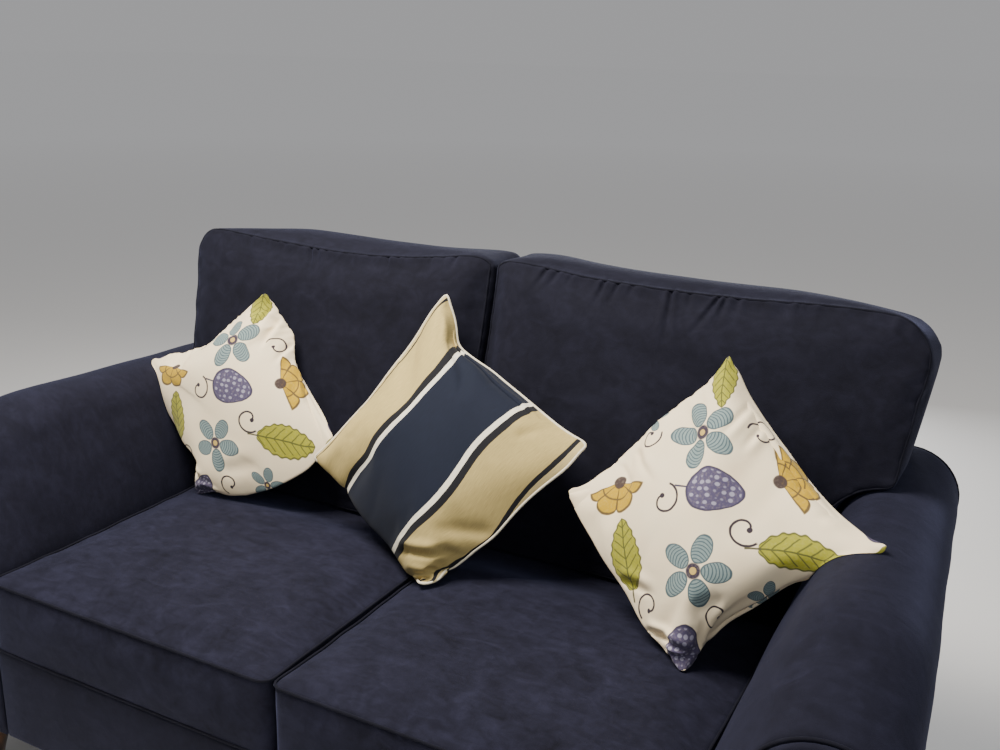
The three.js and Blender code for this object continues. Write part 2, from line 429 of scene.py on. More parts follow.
def glide_under(name, x, y):
    glide = cylinder(name, GLIDE_SIDES, GLIDE_RADIUS, 0.0, GLIDE_HEIGHT + GLIDE_INTO_FOOT, x, y)
    bpy.ops.object.mode_set(mode="EDIT")
    select_faces(glide.data, lambda c, n: n.z < -0.9)
    bpy.ops.mesh.bevel(offset=0.0012, segments=2, affect="EDGES")
    out_of_edit_mode(40)
    return glide


for end in ("front", "back"):
    for side in ("left", "right"):
        low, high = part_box(f"foot_{end}_{side}")
        middle = ((low.x + high.x) / 2, (low.y + high.y) / 2)
        dressed(turned_foot(f"turned_foot_{end}_{side}", *middle), WOOD, [f"foot_{end}_{side}"])
        dressed(glide_under(f"glide_{end}_{side}", *middle), GLIDE)
print("feet and glides:", len(made), "pieces")

# %% [markdown]
# ## The shape of an arm
# An arm is a padded board with a rolled top. The roll falls a little at the front and the whole arm
# spreads outwards there, as scroll arms do. The same functions give its outline anywhere along its depth,
# so the arm, the panel on its front, the panel outside it and the piping between them always agree.

# %% Measures of the arm
SIDES = {"left": -1, "right": 1}
FRAME_BOTTOM = 0.135
SEAT_TOP = 0.450
DECK_TOP = 0.317
FRONT_Y = -0.445
BACK_Y = 0.443
FRAME_BACK = 0.4305
FACING_BACK = -0.427
ARM_IN = 0.622
ARM_OUT = 0.816
ROLL_X, ROLL_Z, ROLL_R = 0.748, 0.605, 0.088
ROLL_DROP = 0.073
DROP_START = -0.20
ARM_FLARE = 0.046
ROLL_GROWTH = 0.010
SIDE_STEPS, ROLL_STEPS, BOTTOM_STEPS = 8, 26, 6  # how many steps each part of the outline has


def flare(y):
    return (FRAME_BACK - y) / (FRAME_BACK - FRONT_Y)


def outer_at(y):
    return ARM_OUT + ARM_FLARE * flare(y)


def roll_at(y):
    """Centre and radius of the rolled top at a depth."""
    t = min(1.0, max(0.0, (DROP_START - y) / (DROP_START - FACING_BACK)))
    return (
        ROLL_X + ARM_FLARE * flare(y),
        ROLL_Z - ROLL_DROP * t * t * (1.7 - 0.7 * t),
        ROLL_R + ROLL_GROWTH * flare(y),
    )


def rise_to_roll(x, z, r, inner):
    """Angle of the straight line from the seat's height that just touches the roll."""
    return math.atan2(z - SEAT_TOP, x - inner) + math.asin(r / math.hypot(x - inner, z - SEAT_TOP))


def arm_outline(y, belly=0.007):
    """Points (x, z) up the inner face, over the roll and down the outer face, then back along the bottom."""
    x, z, r = roll_at(y)
    outer = outer_at(y)
    shoulder = rise_to_roll(x, z, r, ARM_IN) + math.pi / 2
    tuck = -math.acos((outer - x) / r)
    start = Vector((ARM_IN, SEAT_TOP))
    meet = Vector((x + r * math.cos(shoulder), z + r * math.sin(shoulder)))
    out = (meet - start).normalized()
    shares = [k / SIDE_STEPS for k in range(SIDE_STEPS)]
    points = [(ARM_IN, FRAME_BOTTOM + (SEAT_TOP - FRAME_BOTTOM) * share) for share in shares]
    for share in shares:
        swell = belly * math.sin(math.pi * share)
        points.append(tuple(start.lerp(meet, share) + Vector((-out.y, out.x)) * swell))
    for k in range(ROLL_STEPS + 1):
        angle = shoulder + (tuck - shoulder) * k / ROLL_STEPS
        points.append((x + r * math.cos(angle), z + r * math.sin(angle)))
    low = points[-1][1]
    points += [(outer, low + (FRAME_BOTTOM - low) * k / SIDE_STEPS) for k in range(1, SIDE_STEPS + 1)]
    points += [(outer + (ARM_IN - outer) * k / BOTTOM_STEPS, FRAME_BOTTOM) for k in range(1, BOTTOM_STEPS)]
    return points


def shrunk(outline, by):
    """The closed outline moved inwards by a distance; it runs clockwise seen from the front."""
    count = len(outline)
    moved = []
    for i in range(count):
        ax, az = outline[i - 1]
        bx, bz = outline[(i + 1) % count]
        length = math.hypot(bx - ax, bz - az) or 1
        moved.append((outline[i][0] + by * (bz - az) / length, outline[i][1] - by * (bx - ax) / length))
    return moved


print("points in an arm's outline:", len(arm_outline(0)))

# %% [markdown]
# ## Skins, panels and piping
# Upholstery is cloth pulled over padding, so its edges are round and its faces are never quite flat.
# Three helpers cover it: a skin through rings of points, a panel that follows an outline with rounded
# edges, and piping, the thin covered cord that is sewn into a seam. Piping is swept along the same points
# as the seam, so it sits exactly where two pieces of cloth meet.

# %% Helpers for upholstery
EDGE_RINGS = 6  # rings of points round an edge
CORD_SIDES = 8
CORD_STEP = 0.008
SMOOTHER = ("SUBSURF", {"levels": 1, "render_levels": 1})


def as_object(name, points, faces):
    mesh = bpy.data.meshes.new(name)
    mesh.from_pydata([tuple(p) for p in points], [], faces)
    mesh.validate()
    editing = bmesh.new()
    editing.from_mesh(mesh)
    bmesh.ops.recalc_face_normals(editing, faces=editing.faces)
    editing.to_mesh(mesh)
    editing.free()
    mesh.shade_smooth()
    return in_scene(name, mesh)


def skin(name, rings):
    """A closed skin through rings of equal length, with a face at each end."""
    count = len(rings[0])
    points = [p for ring in rings for p in ring]
    faces = [
        (r * count + i, r * count + (i + 1) % count, (r + 1) * count + (i + 1) % count, (r + 1) * count + i)
        for r in range(len(rings) - 1) for i in range(count)
    ]
    faces += [tuple(range(count)), tuple(range(len(points) - count, len(points)))]
    return as_object(name, points, faces)


def finished(piece, *modifiers):
    """Adds modifiers in turn and applies each one, so the mesh is final."""
    bpy.ops.object.select_all(action="DESELECT")
    piece.select_set(True)
    bpy.context.view_layer.objects.active = piece
    for kind, settings in modifiers:
        modifier = piece.modifiers.new(kind.lower(), kind)
        for key, value in settings.items():
            setattr(modifier, key, value)
        bpy.ops.object.modifier_apply(modifier=modifier.name)


def uneven(piece, amount, size, seed=0.0):
    """Pushes the surface in and out a little, as padding under cloth does."""
    mesh = piece.data
    shifts = [
        vertex.normal * amount * noise.noise(vertex.co / size + Vector((seed, seed, seed)))
        for vertex in mesh.vertices
    ]
    for vertex, shift in zip(mesh.vertices, shifts):
        vertex.co += shift
    mesh.update()


def rounded(radius):
    """Steps round an edge, from face to side: how far in from the outline and how far behind the face."""
    turns = [math.pi / 2 * k / (EDGE_RINGS - 1) for k in range(EDGE_RINGS)]
    return [(radius * (1 - math.sin(a)), radius * (1 - math.cos(a))) for a in turns]


def panel(name, outline, front_at, back_at, radius, puff=0.0):
    """A panel that follows an outline (x, z), between two faces given as y for a height, with round edges."""
    edge = rounded(radius)
    rings = []
    for face_at, inwards, steps in ((front_at, 1, edge), (back_at, -1, edge[::-1])):
        for inset, depth in steps:
            rings.append([(x, face_at(z) + inwards * depth, z) for x, z in shrunk(outline, inset)])
    if puff:
        inner = shrunk(outline, radius * 2.2)
        rings.insert(0, [(x, front_at(z) - puff, z) for x, z in inner])
    return skin(name, rings)


def level(y):
    """A face that stands upright."""
    return lambda z: y


def evenly(path, step, closed=True):
    """The same line with points at equal distances."""
    path = [Vector(p) for p in path]
    if closed:
        path.append(path[0])
    lengths = [0.0]
    for a, b in zip(path, path[1:]):
        lengths.append(lengths[-1] + (b - a).length)
    count = max(2, round(lengths[-1] / step))
    places = np.linspace(0, lengths[-1], count + 1)
    columns = [np.interp(places, lengths, [p[axis] for p in path]) for axis in range(3)]
    spots = [Vector(row) for row in zip(*columns)]
    return spots[:-1] if closed else spots


def smoothed(path):
    """The same closed line with its small corners taken off."""
    for _ in range(2):
        path = [(path[i - 1] + path[i] * 2 + path[(i + 1) % len(path)]) / 4 for i in range(len(path))]
    return path


# By default the cord wears the darker piping velour, which paints the shade of the recess along a seam.
def piping(name, path, radius, closed=True, material=VELOUR_PIPING_PAINTED_SHADE):
    """A covered cord along the path: a tube with no twist."""
    path = [Vector(p) for p in path]
    count, sides = len(path), CORD_SIDES
    tangents = []
    for i in range(count):
        before = path[i - 1] if closed or i else path[0]
        after = path[(i + 1) % count] if closed or i < count - 1 else path[-1]
        tangents.append((after - before).normalized())
    across = tangents[0].orthogonal().normalized()
    points = []
    for spot, along in zip(path, tangents):
        across = (across - along * across.dot(along)).normalized()
        other = along.cross(across)
        for k in range(sides):
            a = 2 * math.pi * k / sides
            points.append(spot + (across * math.cos(a) + other * math.sin(a)) * radius)
    faces = []
    for i in range(count if closed else count - 1):
        j = (i + 1) % count
        for k in range(sides):
            n = (k + 1) % sides
            faces.append((i * sides + k, i * sides + n, j * sides + n, j * sides + k))
    if not closed:
        faces += [tuple(range(sides)), tuple(range((count - 1) * sides, count * sides))]
    dressed(as_object(name, points, faces), material)


print("upholstery helpers ready")

# %% [markdown]
# ## Arms
# The padded arm is a skin through its outlines from front to back. The rings lie closer together at the
# front end, where the edge is rounded into the seam. Its front is closed by a facing, a thin padded board,
# with piping all round it, and a flat padded panel covers the outer side below the roll.

# %% Arms, facings and outside panels
ARM_EDGE = 0.009  # radius of the front edge
ARM_RINGS, PANEL_RINGS = 58, 50
FACING_EDGE, FACING_PUFF = 0.006, 0.0025
FACING_CORD = 0.0029
PANEL_THICK, PANEL_EDGE = 0.0165, 0.006
PANEL_BELOW_ROLL = 0.071


def at_depth(outline, y, side=1):
    return [(x * side, y, z) for x, z in outline]


def one_sided(outline, side):
    """The outline on this side of the sofa, still clockwise."""
    return [(x * side, z) for x, z in outline][::side]


def arm_rings():
    """Depths of the arm's outlines, and how far each is drawn in."""
    rings = [(FACING_BACK + 0.0005 + depth, inset) for inset, depth in rounded(ARM_EDGE)]
    rings += [(y, 0.0) for y in np.linspace(rings[-1][0] + 0.012, FRAME_BACK - 0.004, ARM_RINGS)]
    return rings + [(FRAME_BACK, 0.003)]


def outside_corners(y):
    """The outside panel's outline at a depth: flat to the arm, and a little fuller in its middle."""
    inner = outer_at(y) + 0.0005
    outer = inner + PANEL_THICK
    low, high = FRAME_BOTTOM, roll_at(y)[1] - PANEL_BELOW_ROLL
    edge, bevel = PANEL_EDGE, PANEL_EDGE * 0.3
    return [
        (inner, low), (outer - edge, low), (outer - bevel, low + bevel), (outer, low + edge),
        (outer + 0.0012, low + 0.10), (outer + 0.0018, high - 0.16),
        (outer, high - edge), (outer - bevel, high - bevel), (outer - edge, high), (inner, high),
    ]


facing_outline = shrunk(arm_outline(FRONT_Y, belly=0.004), 0.002)
facing_seam = arm_outline(FACING_BACK)[:3 * SIDE_STEPS + ROLL_STEPS + 1]
panel_depths = [FACING_BACK + 0.001 + 0.005 * k for k in range(3)]
panel_depths += list(np.linspace(-0.405, 0.428, PANEL_RINGS))
for side_name, side in reversed(SIDES.items()):
    arm = skin("padded_arm_" + side_name,
               [at_depth(shrunk(arm_outline(y), inset), y, side) for y, inset in arm_rings()])
    uneven(arm, 0.0022, 0.11, side)
    finished(arm, SMOOTHER)
    dressed(arm, VELOUR, ["arm_" + side_name])

    facing = panel("facing_" + side_name, one_sided(facing_outline, side), level(FRONT_Y + 0.0045),
                   level(FACING_BACK), FACING_EDGE, puff=FACING_PUFF)
    dressed(facing, VELOUR, ["arm_facing_" + side_name])
    piping("facing_piping_" + side_name,
           evenly(at_depth(facing_seam, FACING_BACK - 0.001, side), 0.006, closed=False), FACING_CORD,
           closed=False)

    outside = skin("outside_panel_" + side_name,
                   [at_depth(outside_corners(y), y, side) for y in panel_depths])
    finished(outside, ("BEVEL", {"width": 0.002, "segments": 2, "limit_method": "ANGLE"}))
    bpy.ops.object.shade_smooth_by_angle(angle=math.radians(50))
    dressed(outside, VELOUR, ["outside_arm_" + side_name])
print("arms:", [n for n in made if "arm" in n])

# %% [markdown]
# ## Frame covers
# The front rail below the seat cushions, the inside back that the back cushions lean on and the panel
# behind it are tight covers over the frame. A rail starts as a box whose edges are bevelled. The two
# panels of the back follow an outline that rises beside the arms and reaches out over them.

# %% Front rail
RAIL_SWELL = 0.004


def box_between(name, low, high):
    return primitive(name, bpy.ops.mesh.primitive_cube_add, size=1, location=tuple((low + high) / 2),
                     scale=tuple(high - low))


def shares_of(spot, low, high):
    """Where the spot is between two corners: 0 to 1 for each axis."""
    return [(place - start) / (end - start) for place, start, end in zip(spot, low, high)]


low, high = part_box("front_rail")
rail = box_between("front_border", low, high)
bpy.ops.object.mode_set(mode="EDIT")
bpy.ops.mesh.select_all(action="SELECT")
bpy.ops.mesh.bevel(offset=0.007, segments=4, affect="EDGES")
bpy.ops.mesh.select_all(action="DESELECT")
select_faces(rail.data, lambda c, n: n.y < -0.99 and abs(c.y - low.y) < 1e-4)
bpy.ops.mesh.subdivide(number_cuts=24)
bpy.ops.object.mode_set(mode="OBJECT")
for vertex in rail.data.vertices:
    if abs(vertex.co.y - low.y) < 1e-5:
        u, _, v = shares_of(vertex.co, low, high)
        swell = max(0.0, math.sin(math.pi * u)) ** 0.3 * max(0.0, math.sin(math.pi * v)) ** 0.7
        vertex.co.y -= swell * RAIL_SWELL * (0.8 + 0.4 * noise.noise(vertex.co * 9))
bpy.ops.object.shade_smooth_by_angle(angle=math.radians(60))
dressed(rail, VELOUR, ["front_rail"])
print("front border", [round(v, 3) for v in rail.dimensions])

# %% Inside and outside back
BACK_SLOPE = 0.3
BACK_FOOT_Y = 0.100
BACK_THICK = 0.135
BACK_TOP = 0.960
BACK_FRAME_TOP = 0.893
BACK_FRAME_REACH = 0.726
BACK_FRAME_CORNER = 0.060
OUTSIDE_CORD = 0.0026


def leaning(y):
    """A face that leans back, at this depth where it meets the seat."""
    return lambda z: y + (z - SEAT_TOP) * BACK_SLOPE


def arc(x, z, r, start, end, steps):
    angles = [math.radians(start + (end - start) * k / steps) for k in range(steps + 1)]
    return [(x + r * math.cos(angle), z + r * math.sin(angle)) for angle in angles]


def over_arm(bottom, top, reach, corner, gap, narrowing=0.0):
    """From the seat up beside the arm, out over its roll and up to a round corner at the top."""
    r = ROLL_R + gap
    inner = ARM_IN - gap
    ear = reach - narrowing
    points = [(inner, bottom), (inner, SEAT_TOP)]
    points += arc(ROLL_X, ROLL_Z, r, math.degrees(rise_to_roll(ROLL_X, ROLL_Z, r, inner)) + 90, 95, 10)
    points += [(ear - 0.012, ROLL_Z + r), (ear - 0.003, ROLL_Z + r + 0.004), (ear, ROLL_Z + r + 0.014)]
    return points + arc(reach - corner, top - corner, corner, 0, 90, 12)


def resampled(outline, step):
    return [(p.x, p.z) for p in evenly(at_depth(outline, 0), step)]


def whole(half, step):
    """The outline of both halves, given the right one from the bottom up."""
    return resampled([(-x, z) for x, z in half] + half[::-1], step)


inside_half = over_arm(DECK_TOP + 0.0005, BACK_FRAME_TOP, BACK_FRAME_REACH, BACK_FRAME_CORNER, 0.0015)
inside = panel("inside_back", whole(inside_half, 0.02), leaning(BACK_FOOT_Y + BACK_THICK + 0.0015),
               level(FRAME_BACK), 0.010)
uneven(inside, 0.002, 0.13)
dressed(inside, VELOUR, ["back_frame"])

rear_half = [(ARM_OUT + 0.006, FRAME_BOTTOM)] + arc(ROLL_X, ROLL_Z, ROLL_R - 0.002, -38, 104, 18)
rear_half += arc(BACK_FRAME_REACH - BACK_FRAME_CORNER, BACK_FRAME_TOP - BACK_FRAME_CORNER,
                 BACK_FRAME_CORNER, 0, 90, 12)
rear_outline = whole(rear_half, 0.015)
rear = panel("outside_back_panel", rear_outline, level(BACK_Y - 0.0115), level(BACK_Y - 0.0005), 0.0045)
dressed(rear, VELOUR, ["outside_back"])
piping("outside_back_piping", evenly(at_depth(rear_outline, BACK_Y - 0.0118), CORD_STEP), OUTSIDE_CORD)
print("inside back", len(inside.data.polygons), "faces, outside back", len(rear.data.polygons))

# %% [markdown]
# ## Under the frame
# A black lining closes the frame from below. It is a thin sheet that was cut to the frame and stapled
# along its four edges, where the staples show as small steel bars. The platform under the seat cushions
# wears the same lining, so its solid only gets the finish.

# %% Bottom lining with staples
LINING_SAG = 0.0014
STAPLE_STEP = 0.042
STAPLE_SIZE = (0.010, 0.0013, 0.0012)
STAPLE_INSET = 0.012

low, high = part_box("bottom_cloth")
lining_below = box_between("stapled_lining", low, high)
bpy.ops.object.mode_set(mode="EDIT")
select_faces(lining_below.data, lambda c, n: n.z < -0.9)
bpy.ops.mesh.subdivide(number_cuts=30)
bpy.ops.object.mode_set(mode="OBJECT")
for vertex in lining_below.data.vertices:
    u, v, height = shares_of(vertex.co, low, high)
    if height < 0.5:
        middle = max(0.0, math.sin(math.pi * u) * math.sin(math.pi * v)) ** 0.5
        vertex.co.z += LINING_SAG * (1 - middle) * (1 + 0.5 * noise.noise(vertex.co * 14))
bpy.ops.object.shade_smooth_by_angle(angle=math.radians(40))
dressed(lining_below, LINING, ["bottom_cloth"])

x_edge, y_edge = high.x - STAPLE_INSET, high.y - STAPLE_INSET
bars = [((x, s * y_edge), 0) for x in np.arange(-x_edge, x_edge, STAPLE_STEP) for s in (-1, 1)]
bars += [((s * x_edge, y), 1) for y in np.arange(-y_edge, y_edge, STAPLE_STEP) for s in (-1, 1)]
editing = bmesh.new()
for index, ((x, y), turned) in enumerate(bars):
    angle = turned * math.pi / 2 + 0.25 * math.sin(index * 2.4)
    matrix = Matrix.Translation((x, y, low.z)) @ Matrix.Rotation(angle, 4, "Z")
    bmesh.ops.create_cube(editing, size=1, matrix=matrix @ Matrix.Diagonal((*STAPLE_SIZE, 1)))
staples = in_scene("staples", bpy.data.meshes.new("staples"))
editing.to_mesh(staples.data)
editing.free()
dressed(staples, STAPLE)

for node, material in (("seat_deck", LINING), ("back_rail", VELOUR)):
    nodes[node].data.materials.clear()
    nodes[node].data.materials.append(material)
print("staples:", len(bars))

# %% [markdown]
# ## Cloth that is blown up
# A cushion gets its shape from cloth that is held at its seams and pressed out by its filling. Blender's
# cloth can do just that: the flat sewn case is the mesh, pressure is the filling, and gravity is off.
# The solver pulls the sides in between the corners and leaves the small folds along the seams that are so
# hard to draw by hand. Some points can be pinned, and moved to new places while the case fills, and a
# limit keeps the result close to its pattern.

# %% Simulation helper
CLOTH_STIFFNESS = 15.0
REST_FRAMES = 8  # frames at the end in which the pinned points no longer move


def coordinates(mesh):
    values = np.empty(len(mesh.vertices) * 3, np.float32)
    mesh.vertices.foreach_get("co", values)
    return values.reshape(-1, 3).astype(float)


def set_coordinates(mesh, values):
    mesh.vertices.foreach_set("co", np.asarray(values, np.float32).ravel())
    mesh.update()


def inflated(piece, pressure, held, moves=None, filled=(), frames=20, bending=0.5, quality=5):
    """Blows the piece up. held says how firmly a vertex is held, moves where it is taken meanwhile, and
    filled how much of the pressure it gets."""
    if moves:
        piece.shape_key_add(name="start")
        moved = piece.shape_key_add(name="moved")
        for index, shift in moves.items():
            moved.data[index].co = moved.data[index].co + Vector(shift)
        for value, at in ((0.0, 1), (1.0, frames - REST_FRAMES)):
            moved.value = value
            moved.keyframe_insert("value", frame=at)
    modifier = piece.modifiers.new("cloth", "CLOTH")
    settings = modifier.settings
    settings.quality = quality
    settings.use_pressure = True
    settings.uniform_pressure_force = pressure
    settings.tension_stiffness = CLOTH_STIFFNESS
    settings.compression_stiffness = CLOTH_STIFFNESS
    settings.shear_stiffness = CLOTH_STIFFNESS * 0.3
    settings.bending_stiffness = bending
    settings.effector_weights.gravity = 0
    for name, role, weights in (("held", "vertex_group_mass", held),
                                ("filled", "vertex_group_pressure", dict(enumerate(filled)))):
        if weights:
            group = piece.vertex_groups.new(name=name)
            for index, weight in weights.items():
                group.add([index], float(weight), "REPLACE")
            setattr(settings, role, name)
    modifier.collision_settings.use_collision = False
    modifier.point_cache.frame_start = 1
    modifier.point_cache.frame_end = frames
    for at in range(1, frames + 1):
        bpy.context.scene.frame_set(at)
    solved = piece.evaluated_get(bpy.context.evaluated_depsgraph_get())
    result = coordinates(solved.data)
    piece.modifiers.clear()
    if moves:
        piece.shape_key_clear()
        piece.animation_data_clear()
    piece.vertex_groups.clear()
    set_coordinates(piece.data, result)
    bpy.context.scene.frame_set(1)


def limited(before, after, share, cap):
    """Keeps a share of each move and bends it over so that it never passes the cap."""
    move = (after - before) * share
    size = np.linalg.norm(move, axis=1)
    cap = np.broadcast_to(cap, size.shape)
    factor = np.where(size > 1e-7, cap * np.tanh(size / cap) / np.maximum(size, 1e-7), 1.0)
    return before + move * factor[:, None]


def eased(value):
    value = np.clip(value, 0.0, 1.0)
    return value * value * (3 - 2 * value)


print("simulation:", "on")

# %% [markdown]
# ## Seat cushions
# Each seat cushion is a box of foam in a sewn case: a top and a bottom panel and a band between them, the
# boxing, with piping in both seams. The case is built as a grid so the seams stay on known rows of points.
# The filling lifts the top to a low crown and leaves the corners a little hollow. The bottom is pinned,
# because it lies on the platform.

# %% Seat cushion cases
SEAT_CELL = 0.0125
SEAT_CORNER = 0.020
SEAT_BACK = 0.195
SEAT_GAP = 0.0018  # room beside the other cushion
SEAT_SIDE = 0.003  # room beside the arm
SEAT_PRESSURE = 0.55
SEAT_EDGE_RISE, SEAT_CROWN, CROWN_WIDTH = 0.006, 0.024, 0.09  # how far the top may rise
SEAT_BULGE = 0.0065
SEAT_CORD = 0.0023


def round_corner(x, y, a, b, radius):
    """Moves a point near the corner of a rectangle with half sides a and b onto a round corner."""
    u, v = (abs(x) - a + radius) / radius, (abs(y) - b + radius) / radius
    if u <= 0 or v <= 0:
        return x, y
    return (math.copysign(a - radius + radius * u * math.sqrt(max(0, 1 - v * v / 2)), x),
            math.copysign(b - radius + radius * v * math.sqrt(max(0, 1 - u * u / 2)), y))


def round_grid(nx, ny):
    """The border of a grid, place by place."""
    there = [(i, 0) for i in range(nx)] + [(nx, j) for j in range(ny)]
    return there + [(nx - i, ny - j) for i, j in there]


def box_case(name, x0, x1, y0, y1, z0, z1):
    """A sewn box on a grid. Returns the piece and the rows of points along its top and bottom seams."""
    nx, ny = round((x1 - x0) / SEAT_CELL), round((y1 - y0) / SEAT_CELL)
    nz = max(4, round((z1 - z0) / SEAT_CELL))
    a, b = (x1 - x0) / 2, (y1 - y0) / 2
    index, points, faces = {}, [], []

    def vertex(i, j, k):
        if (i, j, k) not in index:
            x, y = round_corner(-a + 2 * a * i / nx, -b + 2 * b * j / ny, a, b, SEAT_CORNER)
            index[i, j, k] = len(points)
            points.append(((x0 + x1) / 2 + x, (y0 + y1) / 2 + y, z0 + (z1 - z0) * k / nz))
        return index[i, j, k]

    def face(*corners):
        faces.append(tuple(vertex(*c) for c in corners))

    for i in range(nx):
        for j in range(ny):
            face((i, j, nz), (i + 1, j, nz), (i + 1, j + 1, nz), (i, j + 1, nz))
            face((i, j, 0), (i, j + 1, 0), (i + 1, j + 1, 0), (i + 1, j, 0))
    for k in range(nz):
        for i in range(nx):
            face((i, 0, k), (i + 1, 0, k), (i + 1, 0, k + 1), (i, 0, k + 1))
            face((i + 1, ny, k), (i, ny, k), (i, ny, k + 1), (i + 1, ny, k + 1))
        for j in range(ny):
            face((0, j + 1, k), (0, j, k), (0, j, k + 1), (0, j + 1, k + 1))
            face((nx, j, k), (nx, j + 1, k), (nx, j + 1, k + 1), (nx, j, k + 1))
    return as_object(name, points, faces), [[index[i, j, k] for i, j in round_grid(nx, ny)] for k in (nz, 0)]


def settled_seat(name, side):
    x0, x1 = sorted((side * SEAT_GAP, side * (ARM_IN - SEAT_SIDE)))
    case, rows = box_case(name, x0, x1, FRONT_Y + 0.0015, SEAT_BACK, DECK_TOP + 0.0005, SEAT_TOP)
    uneven(case, 0.0012, 0.05, side * 2.3)
    before = coordinates(case.data)
    on_platform = {i: 1.0 for i, p in enumerate(before) if p[2] < DECK_TOP + 0.002}
    inflated(case, SEAT_PRESSURE, on_platform, bending=0.9)
    inward = np.minimum.reduce([before[:, 0] - x0, x1 - before[:, 0],
                                before[:, 1] - FRONT_Y, SEAT_BACK - before[:, 1]])
    on_top = before[:, 2] > SEAT_TOP - 0.004
    cap = np.where(on_top, SEAT_EDGE_RISE + SEAT_CROWN * eased(inward / CROWN_WIDTH), SEAT_BULGE)
    shape = limited(before, coordinates(case.data), 0.72, cap)
    # the sides touch the arm and the other cushion, so they hardly bulge
    shape[:, 0] = np.clip(shape[:, 0], x0 - 0.001, x1 + 0.001)
    # under the back cushion the top is held down
    under = eased((before[:, 1] + 0.015) / 0.10)
    pressed = shape[:, 2] * (1 - under) + np.minimum(shape[:, 2], SEAT_TOP) * under
    shape[:, 2] = np.where(on_top, pressed, shape[:, 2])
    set_coordinates(case.data, shape)
    finished(case, SMOOTHER)
    return case, [[Vector(shape[i]) for i in row] for row in rows]


for side_name, side in SIDES.items():
    seat, rows = settled_seat("seat_" + side_name, side)
    dressed(seat, VELOUR_SAT_ON, ["seat_cushion_" + side_name])
    centre = Vector((side * ARM_IN / 2, -0.125, 0))
    for label, row, lift in zip(("top", "bottom"), rows, (-0.0006, 0.0028)):
        path = []
        for spot in row:
            out = Vector((spot.x - centre.x, spot.y - centre.y, 0)).normalized()
            path.append(spot + out * 0.0002 + Vector((0, 0, lift)))
        piping(f"seat_piping_{label}_{side_name}", evenly(path, CORD_STEP), SEAT_CORD)
    print(seat.name, "rises to", round(max(v.co.z for v in seat.data.vertices), 3))

# %% [markdown]
# ## Back cushions
# The back cushions are T-shaped: beside the arm they are narrow, and above it they reach out over its
# roll. They are filled with fibre, so they belly forward and their top seams pull short pleats. The case
# is a thick slab on the outline, remeshed to an even net and blown up, with its rear held against the
# back. Pleats are pressed in afterwards, each a groove with a fold beside it, because the net is coarser
# than they are. Piping follows the front and the rear seam.

# %% Back cushion cases
BACK_VOXEL = 0.0090
BACK_PRESSURE = 0.9
ARM_GAP = 0.002
VALLEY_DEPTH, VALLEY_WIDTH = 0.013, 0.034  # where the two cushions press against each other
BACK_BELLY, BELLY_WIDTH = 0.046, 0.105
BELLY_THINNING = 0.28  # share by which the belly is flatter high up
FINE_ABOVE, FINE_DEPTH = 0.872, 0.022  # where the net is split for the pleats
PUCKER_DEPTH, PUCKER_LENGTH = 0.0026, 0.045
BACK_CORD = 0.0022
BACK_SIDES = {
    # x of the inner edge (outwards is plus), reach, how much narrower beside the roll, corner radius
    "left": (0.0155, 0.745, 0.026, 0.050),
    "right": (-0.0145, 0.780, 0.022, 0.066),
}
REAR_SINK = {"left": 0.020, "right": 0.011}
TOP_LINE = [
    # x, height of the top seam
    (-0.76, 0.950), (-0.66, 0.958), (-0.49, 0.960), (-0.32, 0.956), (-0.17, 0.957), (-0.05, 0.966),
    (0.00, 0.966), (0.07, 0.972), (0.14, 0.963), (0.24, 0.957), (0.39, 0.955), (0.56, 0.958),
    (0.66, 0.957), (0.76, 0.948),
]
FRONT_RISE = [
    # x, how much higher the front seam is there than the rear one
    (-0.76, 0.012), (-0.67, 0.011), (-0.60, 0.004), (-0.50, -0.003), (-0.42, -0.006), (-0.33, -0.004),
    (-0.25, 0.000), (-0.17, 0.007), (-0.10, 0.012), (-0.03, 0.017), (0.00, 0.012), (0.06, 0.006),
    (0.30, 0.008), (0.50, 0.010), (0.60, 0.016), (0.70, 0.020), (0.78, 0.010),
]
PLEATS = {
    # x of the pleat at the seam, lean sideways, length, depth
    "left": [(-0.443, 0.30, 0.060, 0.0042), (-0.427, 0.42, 0.045, 0.0030), (-0.405, 0.40, 0.034, 0.0020),
             (-0.335, 0.10, 0.028, 0.0016), (-0.252, 0.22, 0.046, 0.0030), (-0.228, 0.20, 0.030, 0.0018),
             (-0.600, 0.15, 0.035, 0.0016), (-0.530, 0.25, 0.028, 0.0014), (-0.150, 0.05, 0.030, 0.0018),
             (-0.095, -0.2, 0.032, 0.0020)],
    "right": [(0.100, -0.42, 0.048, 0.0038), (0.122, -0.40, 0.040, 0.0028), (0.150, -0.30, 0.030, 0.0016),
              (0.214, -0.20, 0.056, 0.0040), (0.240, -0.22, 0.050, 0.0032), (0.268, -0.16, 0.030, 0.0018),
              (0.338, 0.12, 0.112, 0.0052), (0.372, 0.10, 0.040, 0.0018), (0.428, -0.55, 0.078, 0.0042),
              (0.437, -0.10, 0.050, 0.0030), (0.458, 0.05, 0.034, 0.0020), (0.560, 0.10, 0.030, 0.0015)],
}


def back_outline(side_name):
    inner, reach, narrowing, corner = BACK_SIDES[side_name]
    bottom = SEAT_TOP + 0.0012
    beside = over_arm(bottom, BACK_TOP, reach, corner, ARM_GAP, narrowing)
    half = [(inner, bottom), beside[0]] + beside[2:]
    half += [(inner + 0.030, BACK_TOP), (inner + 0.011, BACK_TOP - 0.003), (inner, BACK_TOP - 0.014)]
    return resampled(one_sided(half, SIDES[side_name])[::-1], CORD_STEP)


def distance_to(line, spots):
    """Smallest distance of each spot to the points of a line."""
    line = np.array(line)
    return np.array([np.sqrt(((line - s) ** 2).sum(1).min()) for s in spots])


def along_top(table, x):
    """A line through a table's points, with its corners smoothed."""
    xs, zs = zip(*table)
    return np.mean([np.interp(x + step, xs, zs) for step in np.linspace(-0.04, 0.04, 9)], axis=0)


